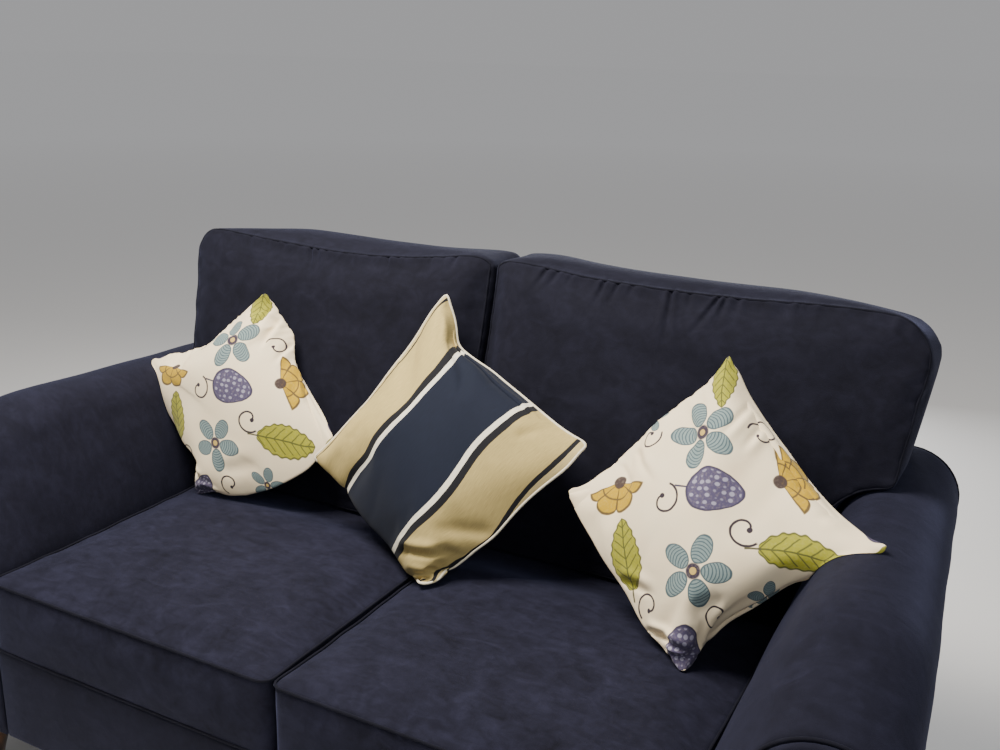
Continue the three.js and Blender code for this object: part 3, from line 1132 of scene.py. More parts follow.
def slope_depth(points):
    """How far behind the cushions' front plane each point is, along Y."""
    return points[:, 1] - leaning(BACK_FOOT_Y)(points[:, 2])


BACK_LEAN = np.array([0.0, -1.0, BACK_SLOPE]) / math.hypot(1.0, BACK_SLOPE)


def along_lean(amounts):
    """Moves square to the leaning front, forwards where the amount is plus."""
    return np.outer(amounts, BACK_LEAN)


def settled_height(points):
    """Lets the top follow its seam line, and the rear corners sink."""
    depth = np.clip(slope_depth(points) / BACK_THICK, 0, 1)
    high = eased((points[:, 2] - 0.80) / 0.14)
    points[:, 2] += (along_top(TOP_LINE, points[:, 0]) - BACK_TOP) * high
    points[:, 2] += along_top(FRONT_RISE, points[:, 0]) * high * (1 - depth) ** 2
    outer = eased((np.abs(points[:, 0]) - 0.50) / 0.22)
    sink = np.where(points[:, 0] < 0, REAR_SINK["left"], REAR_SINK["right"])
    points[:, 2] -= sink * depth * outer * eased((points[:, 2] - 0.84) / 0.09)
    return points


def clear_of_arm(points):
    """Moves what would be inside the arm to its surface."""
    across, height = np.abs(points[:, 0]), points[:, 2]
    x, z, r = np.array([roll_at(y) for y in points[:, 1]]).T
    dx, dz = across - x, height - z
    distance = np.hypot(dx, dz)
    inside = distance < r + ARM_GAP
    factor = np.where(inside, (r + ARM_GAP) / np.maximum(distance, 1e-6), 1.0)
    beside = np.where(height < SEAT_TOP + 0.09, np.minimum(across, ARM_IN - ARM_GAP), across)
    points[:, 0] = np.where(inside, x + dx * factor, beside) * np.sign(points[:, 0])
    points[:, 2] = np.where(inside, z + dz * factor, height)
    return points


def back_case(side_name, side):
    outline = back_outline(side_name)
    case = panel("back_" + side_name, outline, leaning(BACK_FOOT_Y), leaning(BACK_FOOT_Y + BACK_THICK), 0.005)
    finished(case, ("REMESH", {"mode": "VOXEL", "voxel_size": BACK_VOXEL, "use_smooth_shade": True}))
    before = coordinates(case.data)
    depth = slope_depth(before)
    inflated(case, BACK_PRESSURE, {i: 1.0 for i in range(len(before)) if depth[i] > BACK_THICK - 0.012})
    is_front = depth < 0.010
    belly = 0.004 + BACK_BELLY * eased(distance_to(outline, before[:, [0, 2]]) / BELLY_WIDTH)
    cap = np.where(is_front, belly, np.where(before[:, 2] > BACK_TOP - 0.01, 0.010, 0.005))
    shape = limited(before, coordinates(case.data), 0.9, cap)
    # the weight of the filling sinks, so the belly is fuller low down
    thinner = BELLY_THINNING * eased((before[:, 2] - 0.66) / 0.30)
    shape -= along_lean((shape - before) @ BACK_LEAN * thinner) * is_front[:, None]
    shape[:, 2] = np.maximum(shape[:, 2], SEAT_TOP + 0.0008)
    inner = BACK_SIDES[side_name][0]
    shape[:, 0] = np.maximum(shape[:, 0] * side, inner - 0.0008) * side
    valley = np.exp(-((shape[:, 0] * side - inner) / VALLEY_WIDTH) ** 2)
    shape -= along_lean(valley * np.clip(1 - depth / BACK_THICK, 0, 1) * VALLEY_DEPTH)
    set_coordinates(case.data, clear_of_arm(settled_height(shape)))
    finished(case, SMOOTHER)
    return case, outline


def finer_net(case, wanted):
    """Splits the faces whose middle passes the test into quarters."""
    editing = bmesh.new()
    editing.from_mesh(case.data)
    faces = [face for face in editing.faces if wanted(face.calc_center_median())]
    edges = list({edge for face in faces for edge in face.edges})
    bmesh.ops.subdivide_edges(editing, edges=edges, cuts=1, use_grid_fill=True)
    editing.to_mesh(case.data)
    editing.free()
    case.data.shade_smooth()


def near_top_seam(spot):
    return spot.z > FINE_ABOVE and spot.y - leaning(BACK_FOOT_Y)(spot.z) < FINE_DEPTH


def pleated(case, pleats):
    """Presses the pleats in, and small puckers between them all along the seam."""
    points = coordinates(case.data)
    front = eased((0.040 - slope_depth(points)) / 0.03)
    seam = along_top(TOP_LINE, points[:, 0]) + along_top(FRONT_RISE, points[:, 0])
    below = seam - 0.004 - points[:, 2]
    start = eased((below + 0.002) / 0.008)
    for x, slant, length, deep in pleats:
        sideways = points[:, 0] - (x + slant * below)
        width = 0.0036 + 0.045 * np.clip(below, 0, 0.1)
        groove = np.exp(-(sideways / width) ** 2)
        fold = np.exp(-((np.abs(sideways) - 2.1 * width) / (1.2 * width)) ** 2)
        fade = start * (1 - eased(below / length)) ** 0.8
        points += along_lean((fold * 0.5 - groove) * deep * fade * front)
    ripple = np.array([noise.noise(Vector((x * 62, z * 9, 4.0))) for x, _, z in points])
    fade = start * (1 - eased(below / PUCKER_LENGTH))
    points += along_lean(ripple * PUCKER_DEPTH * fade * front)
    set_coordinates(case.data, points)


def on_surface(case, spots, sink):
    """Moves each spot onto the case and then inwards by a distance."""
    tree = BVHTree.FromObject(case, bpy.context.evaluated_depsgraph_get())
    path = []
    for spot in spots:
        place, normal, _, _ = tree.find_nearest(Vector(spot))
        path.append(place - normal * sink)
    return path


# %% Both back cushions
for side_name, side in SIDES.items():
    back, outline = back_case(side_name, side)
    finer_net(back, near_top_seam)
    pleated(back, PLEATS[side_name])
    # The back cushions wear the darker velour copy, which paints the shade on their forward faces.
    dressed(back, VELOUR_UPRIGHT_PAINTED_SHADE, ["back_cushion_" + side_name])
    for label, depth in (("front", 0.0015), ("rear", BACK_THICK - 0.0015)):
        plane = leaning(BACK_FOOT_Y + depth)
        seam = settled_height(np.array([(x, plane(z), z) for x, z in outline]))
        seam = smoothed(on_surface(back, evenly(seam, CORD_STEP), 0.0004))
        piping(f"back_piping_{label}_{side_name}", seam, BACK_CORD)
    print(back.name, "faces", len(back.data.polygons), "front at",
          round(min(v.co.y for v in back.data.vertices), 3))

# %% [markdown]
# ## The cloth of the scatter cushions
# Two cushions are cream cotton with a flower and leaf print, and one is a beige weave with navy and white
# stripes. Stripes and print must follow the cloth, so both read the case's own UV map, where one unit is
# one side of the cushion.

# %% Stripes
STRIPE_EDGES = [
    # place across the cushion where a colour starts, colour
    (0.000, (0.60, 0.47, 0.205, 1)),
    (0.035, (0.012, 0.012, 0.015, 1)),
    (0.047, (0.57, 0.44, 0.168, 1)),
    (0.297, (0.011, 0.011, 0.014, 1)),
    (0.330, (0.93, 0.87, 0.71, 1)),
    (0.350, (0.0078, 0.0116, 0.0255, 1)),
    (0.614, (0.93, 0.87, 0.70, 1)),
    (0.638, (0.011, 0.011, 0.014, 1)),
    (0.668, (0.49, 0.38, 0.148, 1)),
    (0.910, (0.012, 0.012, 0.015, 1)),
    (0.926, (0.60, 0.48, 0.225, 1)),
]


def striped_cloth():
    finish = Finish("stripe_weave", 0.86, Sheen_Weight=0.05, Sheen_Roughness=0.5, Specular_IOR_Level=0.25)
    where = finish.add("UVMap", uv_map="cloth")
    across = finish.math("FRACT", finish.number("SeparateXYZ", {0: where}))
    across += (finish.noise(finish.place(), 60.0) - 0.5) * 0.003
    stripes = finish.ramp(across, *STRIPE_EDGES, interpolation="CONSTANT")
    slub = finish.add("Mapping", {"Vector": where, "Scale": (1.0, 0.06, 1.0)})
    slub = finish.noise(slub, 340.0, 3.0, 0.6)
    shade = finish.ramp(slub, (0.3, (0.80, 0.80, 0.80, 1)), (0.7, (1.06, 1.06, 1.06, 1)))
    finish.colour(finish.mix(1.0, stripes, shade, "MULTIPLY"))
    finish.bump((slub, 0.12, 0.0006), (finish.weave(where, 96.0), 0.25, 0.0004))
    return finish.material


STRIPED = striped_cloth()
print("stripes:", len(STRIPE_EDGES))

# %% [markdown]
# ## A printed cotton
# A print is a handful of drawings, each used several times and turned about. Every drawing is a node
# group that gets its place, turn and size and returns masks, one for each colour. It works in its own
# round space: a distance and an angle about its middle are enough for petals, a fan, a leaf, a dotted
# seed pod and a curl. The motifs here are the script's own, in the colours and the scale of such prints.

# %% Motif helpers
class Motif(Nodes):
    """A node group that draws one motif in a space whose middle is at its own place."""

    def __init__(self, name, masks=("Fill", "Line", "Eye")):
        super().__init__(bpy.data.node_groups.new(name, "ShaderNodeTree"))
        sockets = [("Where", "INPUT", "Vector"), ("Middle", "INPUT", "Vector"), ("Turn", "INPUT", "Float"),
                   ("Size", "INPUT", "Float"), *((mask, "OUTPUT", "Float") for mask in masks)]
        for socket, way, kind in sockets:
            self.tree.interface.new_socket(socket, in_out=way, socket_type="NodeSocket" + kind)
        where, middle, turn, size, *_ = self.tree.nodes.new("NodeGroupInput").outputs
        self.result = self.tree.nodes.new("NodeGroupOutput")
        half = (0.5, 0.5, 0.5)
        spot = self.add("VectorMath", {0: where, 1: middle}, operation="SUBTRACT")
        spot = self.add("VectorMath", {0: spot, 1: half}, operation="ADD")
        spot = self.add("VectorMath", {0: spot}, operation="FRACTION")
        spot = self.add("VectorMath", {0: spot, 1: half}, operation="SUBTRACT")
        spot = self.add("VectorRotate", {"Vector": spot, "Angle": turn}, rotation_type="Z_AXIS")
        spot = self.add("VectorMath", {0: spot, "Scale": self.math("DIVIDE", 1.0, size)}, operation="SCALE")
        self.x, self.y, _ = (Number(self, part) for part in self.add("SeparateXYZ", {0: spot}).outputs)
        self.far = self.length(self.x, self.y)
        self.angle = self.math("ARCTAN2", self.y, self.x)

    def length(self, x, y):
        return self.math("SQRT", x * x + y * y)

    def clamped(self, value, factor, plus):
        return self.number("Math", {0: value, 1: factor, 2: plus}, operation="MULTIPLY_ADD", use_clamp=True)

    def below(self, value, limit, softness=0.02):
        """1 where the value is below the limit, with a soft edge."""
        return self.clamped(limit - value, 1 / softness, 0.5)

    def either(self, first, *others):
        for mask in others:
            first = self.math("MAXIMUM", first, mask)
        return first

    def oval(self, x, y, cx, cy, wide, high):
        """1 on the oval's edge, less inside."""
        return self.length((x - cx) * (1 / wide), (y - cy) * (1 / high))

    def stripes(self, value, count, share):
        """1 in a share of each of the count bands for one unit of the value."""
        return self.below(abs(self.math("FRACT", value * count) - 0.5), share / 2, 0.12)

    def returns(self, *masks):
        for socket, mask in zip(self.result.inputs, masks):
            self.put(socket, mask)
        return self.tree


# %% The five motifs
def blossom():
    """Five separate round petals with arcs across them, and a dark eye with a bright middle."""
    motif = Motif("blossom")
    sector = 2 * math.pi / 5
    turned = (motif.math("FRACT", motif.angle * (1 / sector) + 10.0) - 0.5) * sector
    along = motif.far * motif.math("COSINE", turned)
    aside = motif.far * motif.math("SINE", turned)
    edge = motif.oval(along, aside, 0.60, 0.0, 0.40, 0.275)
    petal = motif.below(edge, 1.0, 0.05)
    rim = motif.below(1.0 - edge, 0.10, 0.05)
    arcs = motif.stripes(aside * aside * 1.8 + along, 11.0, 0.34)
    return motif.returns(petal, petal * motif.either(rim, arcs), motif.below(motif.far, 0.20, 0.04))


def fan():
    """An open fan with a scalloped edge, ribs and a small root."""
    motif = Motif("fan")
    far, spread = motif.far, abs(motif.angle)
    scallops = abs(motif.math("SINE", motif.angle * 3.5))
    reach = scallops ** 0.55 * 0.20 + 0.80
    fill = motif.below(spread, 1.35, 0.04) * motif.below(far, reach, 0.03)
    rim = motif.below(reach - far, 0.07, 0.03)
    ribs = motif.below(scallops, 0.16, 0.10) * motif.below(0.18, far, 0.03)
    middle = motif.below(abs(far - 0.52), 0.025, 0.03)
    sides = motif.below(1.35 - spread, 0.06, 0.04)
    root = motif.below(far, 0.19, 0.03)
    return motif.returns(fill, fill * motif.either(rim, ribs, middle, sides), root)


def leaf():
    """A broad leaf with a midrib and slanting veins."""
    motif = Motif("leaf")
    y, aside = motif.y, abs(motif.x)
    arch = abs(motif.math("SINE", motif.clamped(y, 0.5, 0.5) ** 0.8 * math.pi))
    width = arch ** 0.75 * 0.50 + motif.math("SINE", y * 24.0) * 0.022
    fill = motif.below(aside, width, 0.03) * motif.below(abs(y), 0.98)
    rim = motif.below(width - aside, 0.045, 0.03)
    rib = motif.below(aside, 0.022, 0.02)
    veins = motif.stripes(aside * -0.9 + y, 3.6, 0.16) * motif.below(aside, width * 0.8)
    stem = motif.below(aside, 0.025, 0.02) * motif.below(abs(y + 1.12), 0.2)
    return motif.returns(fill, fill * motif.either(rim, rib, veins), stem)


def pod():
    """An egg-shaped pod with pale spots in rows, on a short stalk."""
    motif = Motif("pod")
    x, y = motif.x, motif.y
    edge = motif.length(x / (y * -0.22 + 0.62), y * (1 / 0.88))
    fill = motif.below(edge, 1.0, 0.03)
    rows = motif.add("CombineXYZ", {0: x, 1: y * 0.8})
    spots = motif.number("TexVoronoi", {"Vector": rows, "Scale": 5.2, "Randomness": 0.35})
    pale = motif.below(edge, 0.88, 0.04) * motif.below(spots, 0.33, 0.10)
    rim = fill * motif.below(1.0 - edge, 0.07, 0.04)
    stalk = motif.below(abs(x), 0.03, 0.02) * motif.below(abs(y + 1.05), 0.2)
    return motif.returns(fill, pale, motif.either(stalk, rim))


def curl():
    """A thin line that winds in to a dot, like the tip of a young fern."""
    motif = Motif("curl", ("Line",))
    line = motif.below(abs(motif.far - (motif.angle * 0.115 + 0.56)), 0.058, 0.03)
    line = line * motif.below(-2.9, motif.angle, 0.1) * motif.below(motif.angle, 2.7, 0.1)
    dot = motif.below(motif.oval(motif.x, motif.y, -0.24, -0.05, 0.13, 0.13), 1.0, 0.15)
    return motif.returns(motif.either(line, dot))


MOTIFS = {"blossom": blossom(), "fan": fan(), "leaf": leaf(), "pod": pod(), "curl": curl()}
print("motifs:", ", ".join(MOTIFS))

# %% The printed cloth
PRINT_INKS = {
    # motif: colour of its fill, of its lines and of its eye or stem
    "blossom": ((0.215, 0.290, 0.285, 1), (0.070, 0.110, 0.125, 1), (0.042, 0.030, 0.052, 1)),
    "fan": ((0.500, 0.310, 0.010, 1), (0.120, 0.080, 0.030, 1), (0.060, 0.040, 0.035, 1)),
    "leaf": ((0.350, 0.340, 0.028, 1), (0.100, 0.105, 0.025, 1), (0.090, 0.085, 0.040, 1)),
    "pod": ((0.082, 0.068, 0.130, 1), (0.330, 0.310, 0.400, 1), (0.048, 0.040, 0.078, 1)),
}
CURL_INK = (0.036, 0.026, 0.036, 1)
BRIGHT_EYE, BRIGHT_SIZE = (0.62, 0.43, 0.12, 1), 0.45
CREAM_LOW, CREAM_HIGH = (0.96, 0.795, 0.530, 1), (0.99, 0.845, 0.580, 1)
PRINT_LAYOUT = [
    # motif, place on the cloth, turn, size (1 is one side of the cushion)
    ("curl", 0.375, 0.400, 0.4, 0.084), ("curl", 0.665, 0.610, 2.6, 0.086),
    ("curl", 0.070, 0.475, 1.4, 0.070), ("curl", 0.660, 0.085, 4.1, 0.074),
    ("curl", 0.370, 0.905, 5.2, 0.074), ("curl", 0.905, 0.325, 3.4, 0.070),
    ("leaf", 0.855, 0.735, 0.65, 0.160), ("leaf", 0.430, 0.125, -1.05, 0.150),
    ("leaf", 0.085, 0.905, 2.3, 0.135), ("pod", 0.470, 0.600, 0.75, 0.142),
    ("pod", 0.905, 0.105, -0.70, 0.138), ("fan", 0.575, 0.845, -1.30, 0.160),
    ("fan", 0.135, 0.250, 0.55, 0.155), ("blossom", 0.225, 0.690, 0.30, 0.160),
    ("blossom", 0.690, 0.350, 1.00, 0.155), ("blossom", 0.975, 0.520, 0.70, 0.088),
]


def printed_cloth():
    finish = Finish("print_cotton", 0.84, Sheen_Weight=0.12, Sheen_Roughness=0.5, Specular_IOR_Level=0.25)
    where = finish.add("UVMap", uv_map="cloth")
    drift = finish.add("TexNoise", {"Vector": where, "Scale": 14.0, "Detail": 2.0}).outputs["Color"]
    drift = finish.add("VectorMath", {0: drift, 1: (0.5, 0.5, 0.5)}, operation="SUBTRACT")
    drawn = finish.add("VectorMath", {0: drift, 1: (0.012, 0.012, 0.0), 2: where}, operation="MULTIPLY_ADD")
    worn = finish.noise(where, 90.0, 3.0) * 0.30 + 0.84
    colour = finish.ramp(finish.noise(where, 5.0), (0.3, CREAM_LOW), (0.7, CREAM_HIGH))

    def masks(kind, x, y, turn, size):
        group = finish.add("Group", {0: drawn, 1: (x, y, 0.0), 2: turn, 3: size}, node_tree=MOTIFS[kind])
        return [Number(finish, mask) for mask in group.outputs]

    for kind, *place, size in PRINT_LAYOUT:
        if kind == "curl":
            colour = finish.mix(masks(kind, *place, size)[0], colour, CURL_INK)
            continue
        for mask, ink in zip(masks(kind, *place, size), PRINT_INKS[kind]):
            colour = finish.mix(mask * worn, colour, ink)
        if kind == "blossom":
            colour = finish.mix(masks(kind, *place, size * BRIGHT_SIZE)[2], colour, BRIGHT_EYE)
    finish.colour(colour)
    finish.bump((finish.noise(where, 45.0), 0.10, 0.0015), (finish.weave(where, 110.0), 0.25, 0.0003))
    return finish.material


PRINTED = printed_cloth()
CREAM_PIPING = scratched("cream_piping", (0.88, 0.80, 0.61, 1), 0.85, 0.0)
print("print nodes:", len(PRINTED.node_tree.nodes))

# %% [markdown]
# ## Scatter cushions
# A scatter cushion is two square sheets sewn together along their edges and stuffed. The same sewn case is
# made flat, with bowed edges and round corners, and then blown up. Each stands on one corner on the seat and
# leans on the back, so that its seam is bent and its lowest corner is crumpled. The seam's points are
# therefore taken to where they rest while the case fills, some firmly and some loosely, and the cloth
# between them finds its own folds. Less of the filling presses on the rear sheet and near the corners. The
# centre cushion lies on its lower left edge, so the front sheet is rolled round that seam and hides it.

# %% Sewn cases
CASE_STEPS = 56
CASE_CORNER = 0.016
CASE_RISE = 0.013  # how far the flat sheets already part in the middle
CASE_GAP = 0.0016


def sewn_case(name, size, bow):
    """Two square sheets that share their edge points. Local x and z lie in the plane, and -y is the front."""
    half, steps = size / 2, CASE_STEPS
    index, points, faces, corners_uv = {}, [], [], []

    def bowed(along, across):
        return half * along + bow * math.copysign(abs(along) ** 3, along) * (1 - across * across)

    def vertex(sheet, i, j):
        edge = i in (0, steps) or j in (0, steps)
        key = (0 if edge else sheet, i, j)
        if key not in index:
            u, v = 2 * i / steps - 1, 2 * j / steps - 1
            x, z = round_corner(bowed(u, v), bowed(v, u), half, half, CASE_CORNER)
            rise = CASE_RISE * math.sqrt(max(0, (1 - u * u) * (1 - v * v)))
            rough = 0.0016 * noise.noise(Vector((half * u * 15, half * v * 15, sheet * 3 + 1.7)))
            index[key] = len(points)
            points.append((x, 0.0 if edge else sheet * (rise + CASE_GAP + rough), z))
        return index[key]

    for sheet in (-1, 1):
        for i in range(steps):
            for j in range(steps):
                cell = [(i, j), (i + 1, j), (i + 1, j + 1), (i, j + 1)][::-sheet]
                faces.append(tuple(vertex(sheet, *c) for c in cell))
                corners_uv += [(a / steps * 0.998 + 0.001 + (sheet + 1), b / steps) for a, b in cell]
    mesh = bpy.data.meshes.new(name)
    mesh.from_pydata(points, [], faces)
    mesh.uv_layers.new(name="cloth").data.foreach_set("uv", np.ravel(corners_uv))
    mesh.shade_smooth()
    net = [np.array([[vertex(sheet, i, j) for j in range(steps + 1)] for i in range(steps + 1)])
           for sheet in (-1, 1)]
    return in_scene(name, mesh), [index[0, i, j] for i, j in round_grid(steps, steps)], net


def cloth_places(case):
    layer = case.data.uv_layers["cloth"].data
    places = np.empty(2 * len(layer))
    layer.foreach_get("uv", places)
    return layer, places.reshape(-1, 2)


def out_of_true(case):
    """Bends the stripes: the cloth was pulled to one side when the cushion was filled."""
    layer, places = cloth_places(case)
    sheet = np.floor(places[:, 0])
    u, v = places[:, 0] - sheet, places[:, 1]
    bow = 0.030 + 0.075 * np.exp(-((v - 0.38) / 0.27) ** 2) * (1 - 0.4 * eased((u - 0.75) / 0.25))
    bow += 0.018 * eased((v - 0.60) / 0.25) * (1 - eased((u - 0.75) / 0.15))
    ends = 0.035 * eased((v - 0.72) / 0.28) + 0.045 * (1 - eased((v - 0.08) / 0.20))
    ends -= 0.018 * np.exp(-((v - 0.55) / 0.15) ** 2)
    share = eased((u - 0.33) / 0.32)
    places[:, 0] = sheet + u - bow * share + ends * (1 - share) * eased(u / 0.2)
    layer.foreach_set("uv", places.ravel())


print("points of a flat case:", 2 * (CASE_STEPS - 1) ** 2 + 4 * CASE_STEPS)

# %% Where the three cushions lie
SCATTER = [
    # cloth, side of the flat case, bow of its edges, pressure of the filling, width of the slack tip, hold
    # of the two lower edges, where the middle is, degrees turned about the upright, leant back and spun in
    # its own plane, how many times its front is smoothed, and how far the right tip comes forward
    dict(name="left", finish="print", size=0.370, bow=0.006, pressure=3.4, tip=0.06, hold=(0.25, 0.25),
         place=(-0.505, 0.064, 0.640), turn=1.5, lean=20.0, spin=10.5, ironing=40, lift=0.0),
    dict(name="centre", finish="stripe", size=0.424, bow=0.004, pressure=3.2, tip=0.12, hold=(0.25, 0.25),
         place=(-0.002, 0.045, 0.675), turn=-2.5, lean=28.5, spin=-13.0, ironing=4, lift=0.0),
    dict(name="right", finish="print", size=0.380, bow=0.006, pressure=3.4, tip=0.06, hold=(0.25, 0.80),
         place=(0.510, 0.015, 0.674), turn=-3.5, lean=28.0, spin=-6.5, ironing=4, lift=0.048),
]
SEAM_PLACES = {
    # cushion: across, deep and up in mm of 16 points of its seam, from the left corner by the bottom one
    "left": [
        (-187, 1, -155), (-102, 3, -172), (-10, 3, -147), (75, 3, -120), (127, 1, -149),
        (140, 3, -81), (214, 3, 7), (223, 3, 125), (155, -1, 200), (63, 23, 178),
        (-22, 22, 167), (-107, 21, 174), (-179, -11, 168), (-174, 7, 83), (-161, 8, 7),
        (-168, 9, -75),
    ],
    "centre": [
        (-174, -4, -212), (-79, 10, -215), (22, 11, -218), (110, 5, -214), (183, -36, -179),
        (203, -6, -120), (220, -3, -17), (215, 0, 91), (209, 2, 195), (100, 24, 169),
        (-10, 24, 155), (-121, 23, 141), (-204, -4, 194), (-196, 8, 94), (-183, 8, -7),
        (-178, 8, -110),
    ],
    "right": [
        (-172, -11, -171), (-74, -3, -191), (27, -5, -192), (115, -7, -209), (177, -35, -174),
        (151, -8, -116), (154, -7, -20), (183, -6, 77), (199, -25, 173), (108, 16, 148),
        (13, 18, 150), (-88, 19, 156), (-177, -12, 175), (-172, 6, 92), (-172, 6, 4),
        (-164, 6, -85),
    ],
}
SETTLING = {
    # cushion: across and up of a place, and how far the cloth there shifts across and up, in mm
    "left": [
        (-186, -154, 2, 3), (-147, -145, -2, -6), (-94, -145, 0, -7), (-55, -153, -1, 4), (-29, -147, 2, 8),
        (40, -125, -2, 5), (73, -117, -3, 12), (92, -118, 9, 1), (124, -148, 3, -7), (144, -112, -15, 11),
        (156, -73, 8, -6), (171, -22, 3, 2), (176, 31, 11, -5), (175, 78, 9, 9), (171, 125, 12, 4),
        (164, 171, -2, 0), (155, 200, 1, -1), (100, 186, 0, 3), (54, 176, 0, -2), (9, 169, 2, 3),
        (-33, 171, -4, -12), (-59, 169, 2, 6), (-106, 174, 0, -2), (-152, 170, 0, 0), (-180, 168, 1, -1),
        (-176, 120, -1, 0), (-180, 86, 4, 1), (-168, 36, -3, 0), (-163, 6, 11, 6), (-160, -13, 3, -2),
        (-175, -67, 6, -1), (-179, -110, -1, 1),
    ],
    "centre": [
        (-174, -212, -3, -4), (-141, -212, 3, 7), (-77, -209, 0, 0), (-47, -208, 0, -1), (13, -206, 1, -1),
        (58, -203, -4, 4), (81, -202, 5, 2), (140, -197, 1, -3), (185, -182, -6, 5), (191, -144, 6, -3),
        (198, -99, -4, 1), (204, -38, 5, 0), (207, 14, -2, 0), (209, 52, -2, 0), (209, 98, -1, 0),
        (209, 151, 7, -1), (209, 195, -3, 1), (141, 184, 4, -5), (101, 178, -1, -4), (46, 170, 0, -5),
        (-16, 162, -2, -8), (-59, 157, 12, 8), (-89, 159, -18, -18), (-146, 172, 1, 0), (-204, 194, 1, 0),
        (-200, 138, -5, -1), (-201, 87, 3, 1), (-196, 35, 2, 0), (-192, -8, 5, 2), (-173, -44, 7, 0),
        (-172, -97, 5, 1), (-179, -156, 5, 0),
    ],
    "right": [
        (-172, -171, -3, 1), (-121, -184, 0, -2), (-88, -187, 0, 1), (-33, -190, 0, -2), (14, -190, 0, 2),
        (48, -190, 0, 0), (88, -190, 0, -7), (142, -186, -1, 5), (174, -179, -3, -2), (163, -136, 7, 1),
        (161, -86, -5, 0), (168, -39, -3, 1), (172, 9, -2, -1), (177, 43, -10, 2), (166, 91, 10, -1),
        (179, 146, 16, -7), (199, 173, -8, 5), (144, 163, -2, -3), (116, 159, -1, -5), (60, 160, 1, -8),
        (19, 162, 0, -4), (-30, 164, 0, -7), (-85, 166, 1, -4), (-127, 172, -3, -6), (-177, 175, -1, 1),
        (-174, 128, 7, 3), (-172, 99, -2, -2), (-172, 42, 0, 0), (-172, -3, -2, 0), (-174, -48, 7, 1),
        (-165, -90, -3, 1), (-170, -123, 9, -3),
    ],
}
SETTLING_REACH = 0.034
FOLDS = {
    # cushion: where a fold starts and ends on the cloth, its half width (1 is one side), its depth in mm
    "left": [
        (0.185, 0.985, 0.360, 0.800, 0.015, 7.0), (0.360, 1.000, 0.470, 0.840, 0.016, 5.5),
        (0.526, 0.985, 0.720, 0.820, 0.022, 4.5), (0.110, 0.960, 0.230, 0.800, 0.014, 4.0),
        (0.700, 0.020, 0.850, 0.130, 0.014, 6.0), (0.880, 0.040, 0.985, 0.240, 0.015, 7.0),
        (0.830, 0.300, 0.890, 0.580, 0.035, 3.0),
    ],
    "centre": [
        (0.690, 0.050, 1.010, 0.335, 0.015, 9.0), (0.990, 0.470, 0.770, 0.250, 0.030, 5.0),
        (0.790, 0.030, 0.995, 0.175, 0.014, 5.0), (0.770, 0.780, 0.835, 0.985, 0.020, 3.0),
        (0.090, 0.920, 0.250, 0.820, 0.016, 2.5), (0.190, 0.220, 0.195, 0.370, 0.020, 1.5),
        (0.480, 0.985, 0.520, 0.860, 0.016, 2.0), (0.340, 0.990, 0.360, 0.880, 0.014, 2.0),
        (0.880, 0.020, 0.960, 0.110, 0.012, 4.0),
    ],
    "right": [
        (0.225, 0.985, 0.310, 0.690, 0.015, 5.5), (0.315, 0.990, 0.395, 0.760, 0.015, 5.5),
        (0.452, 0.995, 0.505, 0.870, 0.015, 4.0), (0.610, 0.990, 0.645, 0.860, 0.016, 4.0),
        (0.785, 0.990, 0.765, 0.850, 0.016, 4.5), (0.030, 0.382, 0.300, 0.396, 0.016, 4.5),
        (0.025, 0.281, 0.245, 0.294, 0.014, 3.0), (0.470, 0.020, 0.670, 0.150, 0.018, 6.0),
        (0.700, 0.000, 0.950, 0.140, 0.014, 10.0), (0.850, 0.390, 0.815, 0.190, 0.030, 4.0),
        (0.820, 0.020, 0.985, 0.100, 0.012, 6.0),
    ],
}
EDGE_ROWS = 6


def pose_of(place, turn, lean, spin):
    return (
        Matrix.Translation(place)
        @ Matrix.Rotation(math.radians(turn), 4, "Z")
        @ Matrix.Rotation(math.radians(-lean), 4, "X")
        @ Matrix.Rotation(math.radians(45 + spin), 4, "Y")
    )


def through(controls, steps):
    """A smooth line through four controls for each edge, with steps points to an edge."""
    controls = np.array(controls) / 1000
    line = []
    for edge in range(4):
        p = np.array([controls[(4 * edge + k) % 16] for k in range(5)])
        p = np.vstack([2 * p[0] - p[1], p, 2 * p[4] - p[3]])
        for step in range(steps):
            k, f = divmod(4 * step / steps, 1)
            a, b, c, d = p[int(k):int(k) + 4]
            line.append(0.5 * (2 * b + (c - a) * f + (2 * a - 5 * b + 4 * c - d) * f ** 2
                               + (3 * b - a - 3 * c + d) * f ** 3))
    return line


def filling(points, tip):
    """How much of the pressure each point gets: little at the corners, the upper seams and the rear."""
    x, z = points[:, 0], points[:, 2]
    half = np.abs(x).max()
    share = np.ones(len(points))
    for cx, cz, reach in ((-half, half, tip), (half, -half, 0.06), (-half, -half, 0.05), (half, half, 0.05)):
        share = np.minimum(share, np.clip((np.hypot(x - cx, z - cz) - 0.012) / reach, 0, 1))
    from_upper = np.minimum(x + half, half - z)
    from_lower = np.minimum(half - x, z + half)
    for distance, reach in ((from_upper, 0.055), (from_lower, 0.032)):
        share = np.minimum(share, np.clip(distance / reach, 0, 1) ** 0.8)
    return np.where(points[:, 1] > 0.0005, share * np.clip(0.2 + from_upper / 0.35, 0.2, 0.5), share)


print("folds:", {name: len(folds) for name, folds in FOLDS.items()})

# %% Stuff them and set them down
UPPER_HOLD = (0.8, 0.8)
TUCKED_SEAM = (-0.006, 0.012)  # how far a hidden seam moves outwards and away from the camera
TUCKED_ROLL = (0.014, 0.008)  # the same for the roll of cloth around it
SCATTER_CORD = 0.0024
supports = [BVHTree.FromObject(bpy.data.objects[kind + side_name], bpy.context.evaluated_depsgraph_get())
            for kind in ("seat_", "back_", "padded_arm_") for side_name in SIDES]


